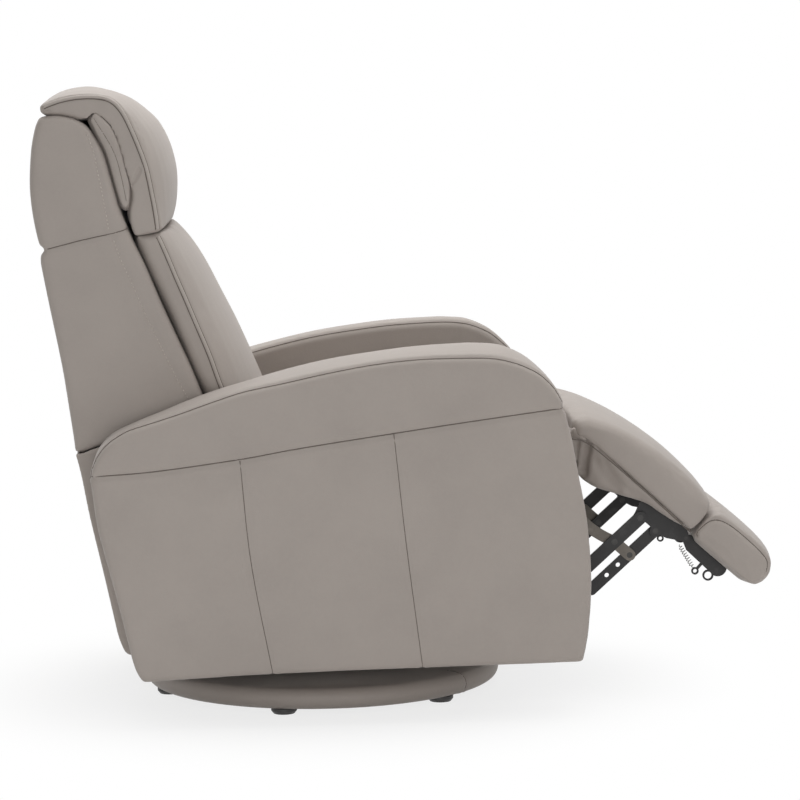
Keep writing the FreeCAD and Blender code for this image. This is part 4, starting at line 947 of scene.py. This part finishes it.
head = pillow("head_cover", crown(HEAD_SIDE, HEAD_MID, 3.0), -PAD_HALF, PAD_HALF, 6, HIDE)
remesh(head, 4.5, 2)
swell(head, 2.5, pressure=2.5)
keep_within(head, "z", HEAD_LOW, HEAD_TOP)
keep_within(head, "y", -HEAD_LIMIT, HEAD_LIMIT)
refine(head)
finish_piece(head, "headrest", "head_pad", "head_flap", "head_board", fill=0.8)

LEAF = outline_runs(
    [
        [(-323, 850), (-329, 856), (-336, 879), (-346, 919), (-353, 944), (-365, 969), (-377, 995)],
        [(-377, 995), (-370, 1008)],
        [
            (-370, 1008), (-356.5, 998), (-344.5, 985), (-336, 967), (-329, 946), (-322, 915),
            (-315.5, 889), (-316, 868),
        ],
        [(-316, 868), (-318, 854), (-323, 850)],
    ],
    20,
)


LEAF_SPREAD = 6


def leaf_shape(s):
    """The leaf's outline, drawn out a little behind its face so that no light comes past it."""
    return inset(LEAF, -LEAF_SPREAD * min(1, max(0, (0.7 - s) / 0.4)))


LEAF_INSIDE, LEAF_OUTSIDE, BACK_SIDE_Y = 200, 260, 262
SHELL_STITCH = [
    (-344, 800), (-333, 767), (-317, 731), (-296, 680), (-280, 644), (-259, 598), (-242, 562),
    (-227, 535), (-203, 480),
]
BLOCK_STITCH = [
    (-384, 975), (-378, 959), (-371, 936), (-367, 910), (-362, 885), (-358, 860), (-354, 837),
    (-351, 814),
]
HEAD_PIPE = [
    (-455, 1019), (-428, 1029), (-401, 1034), (-374, 1035), (-346, 1032), (-333, 1023), (-324, 1010),
    (-312, 987), (-292, 934), (-284, 905), (-275, 856), (-269, 812),
]
LUMBAR_PIPE = [
    (-269, 806), (-254, 770), (-240, 734), (-225, 698), (-206, 650), (-187, 602), (-170, 551),
    (-140, 478),
]
LEAF_SEAM = [(-321, 862), (-329, 905), (-341, 946), (-371, 998)]
HEAD_TUCK = [(-312, 890), (-303, 902), (-297, 915)]
FLAP_DENT = [(-457, 1010), (-448, 1011)]
NECK_FRONT = [(-324, 258, 815), (-319, 250, 816)]
NECK_SIDE = [(-452, 785), (-431, 790), (-403, 797), (-370, 804), (-349, 808), (-330, 813)]
for side, sign in SIDES:
    outside = (0, -sign, 0)
    points = at_side(NECK_SIDE, sign * BACK_SIDE_Y)
    front = [(x, sign * y, z) for x, y, z in NECK_FRONT]
    seam(shell, "back", f"neck_seam_{side}", points, outside, front, 3.5, 2.2, line=1.0, pucker=0.6)
    topstitch(shell, "back", f"shell_topstitch_{side}", at_side(SHELL_STITCH, sign * PAST_SIDE), outside)
    topstitch(shell, "back", f"block_topstitch_{side}", at_side(BLOCK_STITCH, sign * PAST_SIDE), outside)
    welt(head, "headrest", f"head_welt_{side}", at_side(HEAD_PIPE, sign * PAD_HALF))
    welt(lumbar, "back", f"lumbar_welt_{side}", at_side(LUMBAR_PIPE, sign * PAD_HALF))
    crease(head, at_side(HEAD_TUCK, sign * BACK_SIDE_Y), outside, 3, 2.4, 0.8)
    crease(head, at_side(FLAP_DENT, sign * BACK_SIDE_Y), outside, 4, 5)
    y0, y1 = sign * LEAF_INSIDE, sign * LEAF_OUTSIDE
    leaf = pillow(f"head_leaf_{side}", leaf_shape, y0, y1, 4, HIDE, stations=9)
    remesh(leaf, 3, 3)
    if side == "left":
        finish_piece(leaf, "back", "head_gussets", fill=0.4)
    else:
        finish_piece(leaf, "back", fill=0.4)
    middle = at_side(LEAF_SEAM, sign * BACK_SIDE_Y)
    seam(leaf, "back", f"head_leaf_seam_{side}", middle, outside, (), 2.5, 1.4, ridge=0.5, line=0.5)

# Footrest and toe section, drawn in the footrest's slanted frame; its origin is the pin on the long link

ANGLE = math.radians(42)
# The linkage's own sizes, as in the CAD
DRIVE_X, DRIVE_Z, SWING_REACH, LONG_REACH = 402.8, 348.3, 120, 60
FOOT_X = DRIVE_X + (SWING_REACH + LONG_REACH) * math.cos(ANGLE)
FOOT_Z = DRIVE_Z - (SWING_REACH - LONG_REACH) * math.sin(ANGLE)
FOOT_HALF, FOOT_LIMIT, FLAP_HALF, BESIDE_FOOT, CREASE_Y = 257, 262, 252, 258, 253.5


def slant(points):
    """Points of the footrest's frame, each as (along, above), turned into x and z."""
    pts = np.array(points, float)
    c, s = math.cos(ANGLE), math.sin(ANGLE)
    return np.stack([FOOT_X + pts[:, 0] * c + pts[:, 1] * s, FOOT_Z - pts[:, 0] * s + pts[:, 1] * c], axis=1)


FOOT_SIDE = slant(
    outline_runs(
        [
            [(-186, 26), (-163, 37), (-116, 40), (-40, 40), (73, 38)],
            [(73, 38), (75, 60), (72, 80), (65, 93)],
            [(65, 93), (13, 98), (-60, 97), (-130, 86), (-184, 66)],
            [(-184, 66), (-199, 46), (-186, 26)],
        ],
        30,
    )
)
FOOT_MID = slant(
    outline_runs(
        [
            [(-206, 40), (-163, 38), (-116, 39), (-40, 39), (74, 38)],
            [(74, 38), (77, 69), (74, 98), (68, 107)],
            [(68, 107), (26, 114), (-39, 116), (-105, 107), (-166, 90), (-206, 72)],
            [(-206, 72), (-220, 56), (-206, 40)],
        ],
        30,
    )
)
FOOT_EASE = eased([0.15, 0.1, 1, 1], 30)
FOOT_SHAPE = crown(FOOT_SIDE, FOOT_MID, 3.0)
foot = pillow("footrest_cover", FOOT_SHAPE, -FOOT_HALF, FOOT_HALF, 18, HIDE, ease=FOOT_EASE)
remesh(foot, 5, 3)
swell(foot, 3, pressure=3.0)
keep_within(foot, "y", -FOOT_LIMIT, FOOT_LIMIT)
refine(foot)
finish_piece(foot, "footrest", "footrest_pad", "footrest_board", fill=0.8)

FLAP_ROOT, FLAP_DROP, FLAP_TAPER = 40, 54, 0.1
SLACK_FROM, SLACK_FADE, ROOT_FADE, FOLD_IN = 225, 20, 16, 3
FLAP = slant(
    outline_runs(
        [
            [(-196, 44), (66, 41)],
            [
                (66, 41), (45, 34), (14, 29), (-12, 26), (-34, 17), (-65, 3), (-93, -10), (-115, -14),
                (-142, -10),
            ],
            [(-142, -10), (-176, 6), (-192, 24), (-196, 44)],
        ],
        30,
    )
)
flap = pillow("footrest_flap", same(FLAP), -FLAP_HALF, FLAP_HALF, 5, HIDE, stations=5)
remesh(flap, 4, 3)
co = coords(flap)
out, up = co[:, 0] / MM - FOOT_X, co[:, 2] / MM - FOOT_Z
along = out * math.cos(ANGLE) - up * math.sin(ANGLE)
above = out * math.sin(ANGLE) + up * math.cos(ANGLE)
# Small folds in the slack leather at the flap's sides, which also draw in towards its lower edge
fold = 1.5 * np.sin(along / 9.5 + above / 13) + 1.2 * np.sin(along / 17 - above / 21 + 1.1)
below = FLAP_ROOT - above
slack = np.clip((np.abs(co[:, 1]) / MM - SLACK_FROM) / SLACK_FADE, 0, 1) * np.clip(below / ROOT_FADE, 0, 1)
co[:, 1] += np.sign(co[:, 1]) * (fold - FOLD_IN) * slack * MM
co[:, 1] *= 1 - FLAP_TAPER * np.clip(below / FLAP_DROP, 0, 1)
put_coords(flap, co)
finish_piece(flap, "footrest", "footrest_wedge", fill=0.3)

# Each pleat of the flap: points, width and depth
PLEAT_RIDGE = 0.15
PLEATS = [
    ([(-159, 37), (-146, 19), (-128, -6)], 6, 11),
    ([(-172, 24), (-158, 10), (-146, -4)], 6, 7),
    ([(-130, 24), (-97, 14), (-66, 12)], 7, 3),
    ([(-120, 34), (-92, 24), (-50, 20)], 5, 2),
]

TOE_SIDE = slant(
    outline_runs(
        [
            [(79, 35), (98, 33), (147, 33.5), (196, 35)],
            [(196, 35), (212, 38.5), (220, 50), (221, 68), (211, 87)],
            [(211, 87), (196, 93), (161, 95.5), (115, 94), (88, 90)],
            [(88, 90), (79.5, 78), (78, 55), (79, 35)],
        ],
        30,
    )
)
TOE_MID = slant(
    outline_runs(
        [
            [(79, 35), (98, 34), (147, 34), (217, 34)],
            [(217, 34), (235, 45), (239, 66), (232, 89), (213, 103)],
            [(213, 103), (190, 108), (154, 109), (120, 108), (88, 106)],
            [(88, 106), (80, 95), (79, 60), (79, 35)],
        ],
        30,
    )
)
TOE_EASE = eased([1, 1, 1, 0.12], 30)
TOE_SHAPE = crown(TOE_SIDE, TOE_MID, 3.0)
toe = pillow("toe_cover", TOE_SHAPE, -FOOT_HALF, FOOT_HALF, 7, HIDE, ease=TOE_EASE)
remesh(toe, 4.5, 3)
swell(toe, 2.5, pressure=2.5)
keep_within(toe, "y", -FOOT_LIMIT, FOOT_LIMIT)
refine(toe)
finish_piece(toe, "toe", "toe_pad", "toe_board", fill=0.7)
TOE_SEAM = [
    (82, 37), (81, 50), (83, 70), (92, 83), (115, 90.5), (161, 92), (195, 89.5), (208, 84), (215, 72),
]
CREASE_RADIUS = 1.1
FOOT_CREASE = [(-186, 25), (-163, 36), (-116, 39), (-40, 39.5), (72, 37.5)]
for side, sign in SIDES:
    outside = (0, -sign, 0)
    points = at_side(slant(TOE_SEAM), sign * BESIDE_FOOT)
    seam(toe, "toe", f"toe_side_seam_{side}", points, way=outside, width=3, depth=1.4, line=0.9)
    # Dark tube of painted shade laid in the crease between the footrest and its flap
    path = [Vector(p) * MM for p in at_side(slant(curve_points(FOOT_CREASE, step=4.0)), sign * CREASE_Y)]
    finish_piece(tube(f"footrest_crease_shade_{side}", path, CREASE_RADIUS, SEAM_SHADE, sides=6), "footrest")
    for run, width, depth in PLEATS:
        crease(flap, at_side(slant(run), sign * BESIDE_FOOT), outside, width, depth, depth * PLEAT_RIDGE)


# Rings, hook and spring under the toe section

RING_STEPS, RING_GAUGE, RING_Y = 24, 3.4, 192.6


def tab_ring(name, place, stem, y, outer, inner):
    """Flat steel ring with a stem to its bracket; place and stem are in the footrest's frame."""
    gauge, count = RING_GAUGE, RING_STEPS
    (cx, cz), (sx, sz) = slant([place, stem])
    bm = bmesh.new()
    turns = [math.tau * k / count for k in range(count)]
    rings = []
    for r, d in ((outer, -gauge / 2), (outer, gauge / 2), (inner, gauge / 2), (inner, -gauge / 2)):
        circle = [(cx + r * math.cos(a), cz + r * math.sin(a)) for a in turns]
        rings.append([bm.verts.new((x * MM, (y + d) * MM, z * MM)) for x, z in circle])
    for low, high in zip(rings, rings[1:] + rings[:1]):
        for k in range(count):
            bm.faces.new((low[k], low[(k + 1) % count], high[(k + 1) % count], high[k]))
    ahead = np.array((sx - cx, sz - cz))
    ahead /= np.linalg.norm(ahead)
    wide = np.array((-ahead[1], ahead[0])) * (outer - inner) * 0.8
    foot_at = np.array((cx, cz)) + ahead * (inner + outer) / 2
    corners = [foot_at + wide, foot_at - wide, np.array((sx, sz)) - wide, np.array((sx, sz)) + wide]
    low = [bm.verts.new((x * MM, (y - gauge / 2.2) * MM, z * MM)) for x, z in corners]
    high = [bm.verts.new((x * MM, (y + gauge / 2.2) * MM, z * MM)) for x, z in corners]
    bm.faces.new(low)
    bm.faces.new(high)
    for k in range(4):
        bm.faces.new((low[k], low[(k + 1) % 4], high[(k + 1) % 4], high[k]))
    finish_piece(from_bmesh(name, bm, BLACK), "toe", slot="dark_steel")


for side, sign in SIDES:
    tab_ring(f"toe_ring_{side}", (136, -7), (136, 13), sign * RING_Y, 6.4, 3.4)
tab_ring("toe_hook", (158, 2), (161, 15), -RING_Y, 9.5, 6.3)

SPRING_Y, COIL_RADIUS, WIRE_RADIUS = -189.6, 3.6, 0.7
COIL_ACROSS = (0.27, 0.96)
start, stop = np.array((86.0, 9.0)), np.array((131.0, -5.0))
TURNS, STEPS = 10, 12
wire = []
for k in range(TURNS * STEPS + 1):
    t = k / (TURNS * STEPS)
    a = math.tau * TURNS * t
    u, w = start + (stop - start) * t
    lift = COIL_RADIUS * min(1, 8 * t, 8 * (1 - t))
    swing = lift * math.cos(a)
    x, z = slant([(u + swing * COIL_ACROSS[0], w + swing * COIL_ACROSS[1])])[0]
    wire.append(Vector((x, SPRING_Y + lift * math.sin(a), z)) * MM)
spring = tube("toe_spring", wire, WIRE_RADIUS, PALE, sides=6)
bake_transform(spring)

# Floor and studio


def seen_directly(tree):
    """Socket that is 1 for what the camera sees, also in a reflection or through glass, and 0 for light."""
    path = add(tree, "ShaderNodeLightPath")
    total = path.outputs["Is Camera Ray"]
    for ray in ("Is Glossy Ray", "Is Transmission Ray"):
        total = combine(tree, "MAXIMUM", total, path.outputs[ray])
    return total


def floor_pale():
    """Pale floor that takes the chair's shadow and is seen as white away from it."""
    mat, tree, shader = new_material("floor_pale")
    link = tree.links.new
    speck = texture(tree, "Noise", Scale=3.0, Detail=2.0)
    colour(tree, shader, speck.outputs["Fac"], [(0.3, (0.88, 0.88, 0.88, 1)), (0.7, (0.91, 0.91, 0.91, 1))])
    shader.inputs["Roughness"].default_value = 0.9
    shader.inputs["Specular IOR Level"].default_value = 0.0
    white = add(tree, "ShaderNodeEmission", Strength=1.0)
    place = add(tree, "ShaderNodeTexCoord")
    reach = add(tree, "ShaderNodeVectorMath", operation="LENGTH")
    link(place.outputs["Object"], reach.inputs[0])
    fade = add(tree, "ShaderNodeMapRange", interpolation_type="SMOOTHSTEP")
    for name, value in (("From Min", 0.3), ("From Max", 0.75), ("To Min", 0.78), ("To Max", 1.0)):
        fade.inputs[name].default_value = value
    link(reach.outputs["Value"], fade.inputs["Value"])
    mixed = add(tree, "ShaderNodeMixShader")
    link(combine(tree, "MULTIPLY", fade.outputs["Result"], seen_directly(tree)), mixed.inputs["Fac"])
    link(shader.outputs[0], mixed.inputs[1])
    link(white.outputs[0], mixed.inputs[2])
    link(mixed.outputs[0], tree.nodes["Material Output"].inputs["Surface"])
    return mat


FLOOR_HALF = 9
corners = [(x * FLOOR_HALF, y * FLOOR_HALF, 0) for x, y in ((-1, -1), (1, -1), (1, 1), (-1, 1))]
floor_mesh = bpy.data.meshes.new("floor")
floor_mesh.from_pydata(corners, [], [(0, 1, 2, 3)])
floor = bpy.data.objects.new("floor", floor_mesh)
bpy.context.scene.collection.objects.link(floor)
floor_mesh.materials.append(floor_pale())

scene = bpy.context.scene
scene.view_settings.view_transform = "Standard"
world = bpy.data.worlds.new("studio")
scene.world = world
world.use_nodes = True
tree = world.node_tree
link = tree.links.new
back = tree.nodes["Background"]
back.inputs["Color"].default_value = (1, 1, 1, 1)
back.inputs["Strength"].default_value = 0.3
bright = add(tree, "ShaderNodeBackground", Color=(1, 1, 1, 1), Strength=1.0)
mixed = add(tree, "ShaderNodeMixShader")
link(seen_directly(tree), mixed.inputs["Fac"])
link(back.outputs[0], mixed.inputs[1])
link(bright.outputs[0], mixed.inputs[2])
link(mixed.outputs[0], tree.nodes["World Output"].inputs["Surface"])


def lamp(name, place, aim, power, width, height):
    """Soft area light at a place in metres, turned to an aim."""
    data = bpy.data.lights.new(name, "AREA")
    data.shape, data.size, data.size_y, data.energy = "RECTANGLE", width, height, power
    obj = bpy.data.objects.new(name, data)
    scene.collection.objects.link(obj)
    obj.location = place
    obj.rotation_euler = (Vector(aim) - Vector(place)).to_track_quat("-Z", "Y").to_euler()


lamp("overhead", (0.3, 0.3, 3.4), (0.1, 0, 0.5), 86, 3.2, 2.2)
lamp("front", (3.6, -1.2, 1.6), (0.1, 0, 0.5), 9, 2.4, 2.0)
lamp("fill", (-0.4, -4.8, 0.6), (0.0, 0, 0.25), 45, 3.4, 1.1)
lamp("behind", (-2.2, 3.2, 2.4), (0.0, 0, 0.6), 20, 3.0, 2.0)

# Camera, fitted to the photograph

EYE, AIM = Vector((-0.1993, -5.1887, 1.02)), Vector((0.1435, 0, 0.497))
LENS, SENSOR, CAMERA_ROLL = 133.85, 36, math.radians(0.8)
cam_data = bpy.data.cameras.new("camera")
cam = bpy.data.objects.new("camera", cam_data)
scene.collection.objects.link(cam)
scene.camera = cam
cam_data.sensor_width = SENSOR
cam_data.lens = LENS
cam_data.clip_end = 60
ahead = (AIM - EYE).normalized()
level = ahead.cross(Vector((0, 0, 1))).normalized()
plumb = level.cross(ahead)
right = level * math.cos(CAMERA_ROLL) - plumb * math.sin(CAMERA_ROLL)
upward = plumb * math.cos(CAMERA_ROLL) + level * math.sin(CAMERA_ROLL)
cam.matrix_world = Matrix((
    (right.x, upward.x, -ahead.x, EYE.x),
    (right.y, upward.y, -ahead.y, EYE.y),
    (right.z, upward.z, -ahead.z, EYE.z),
    (0, 0, 0, 1),
))
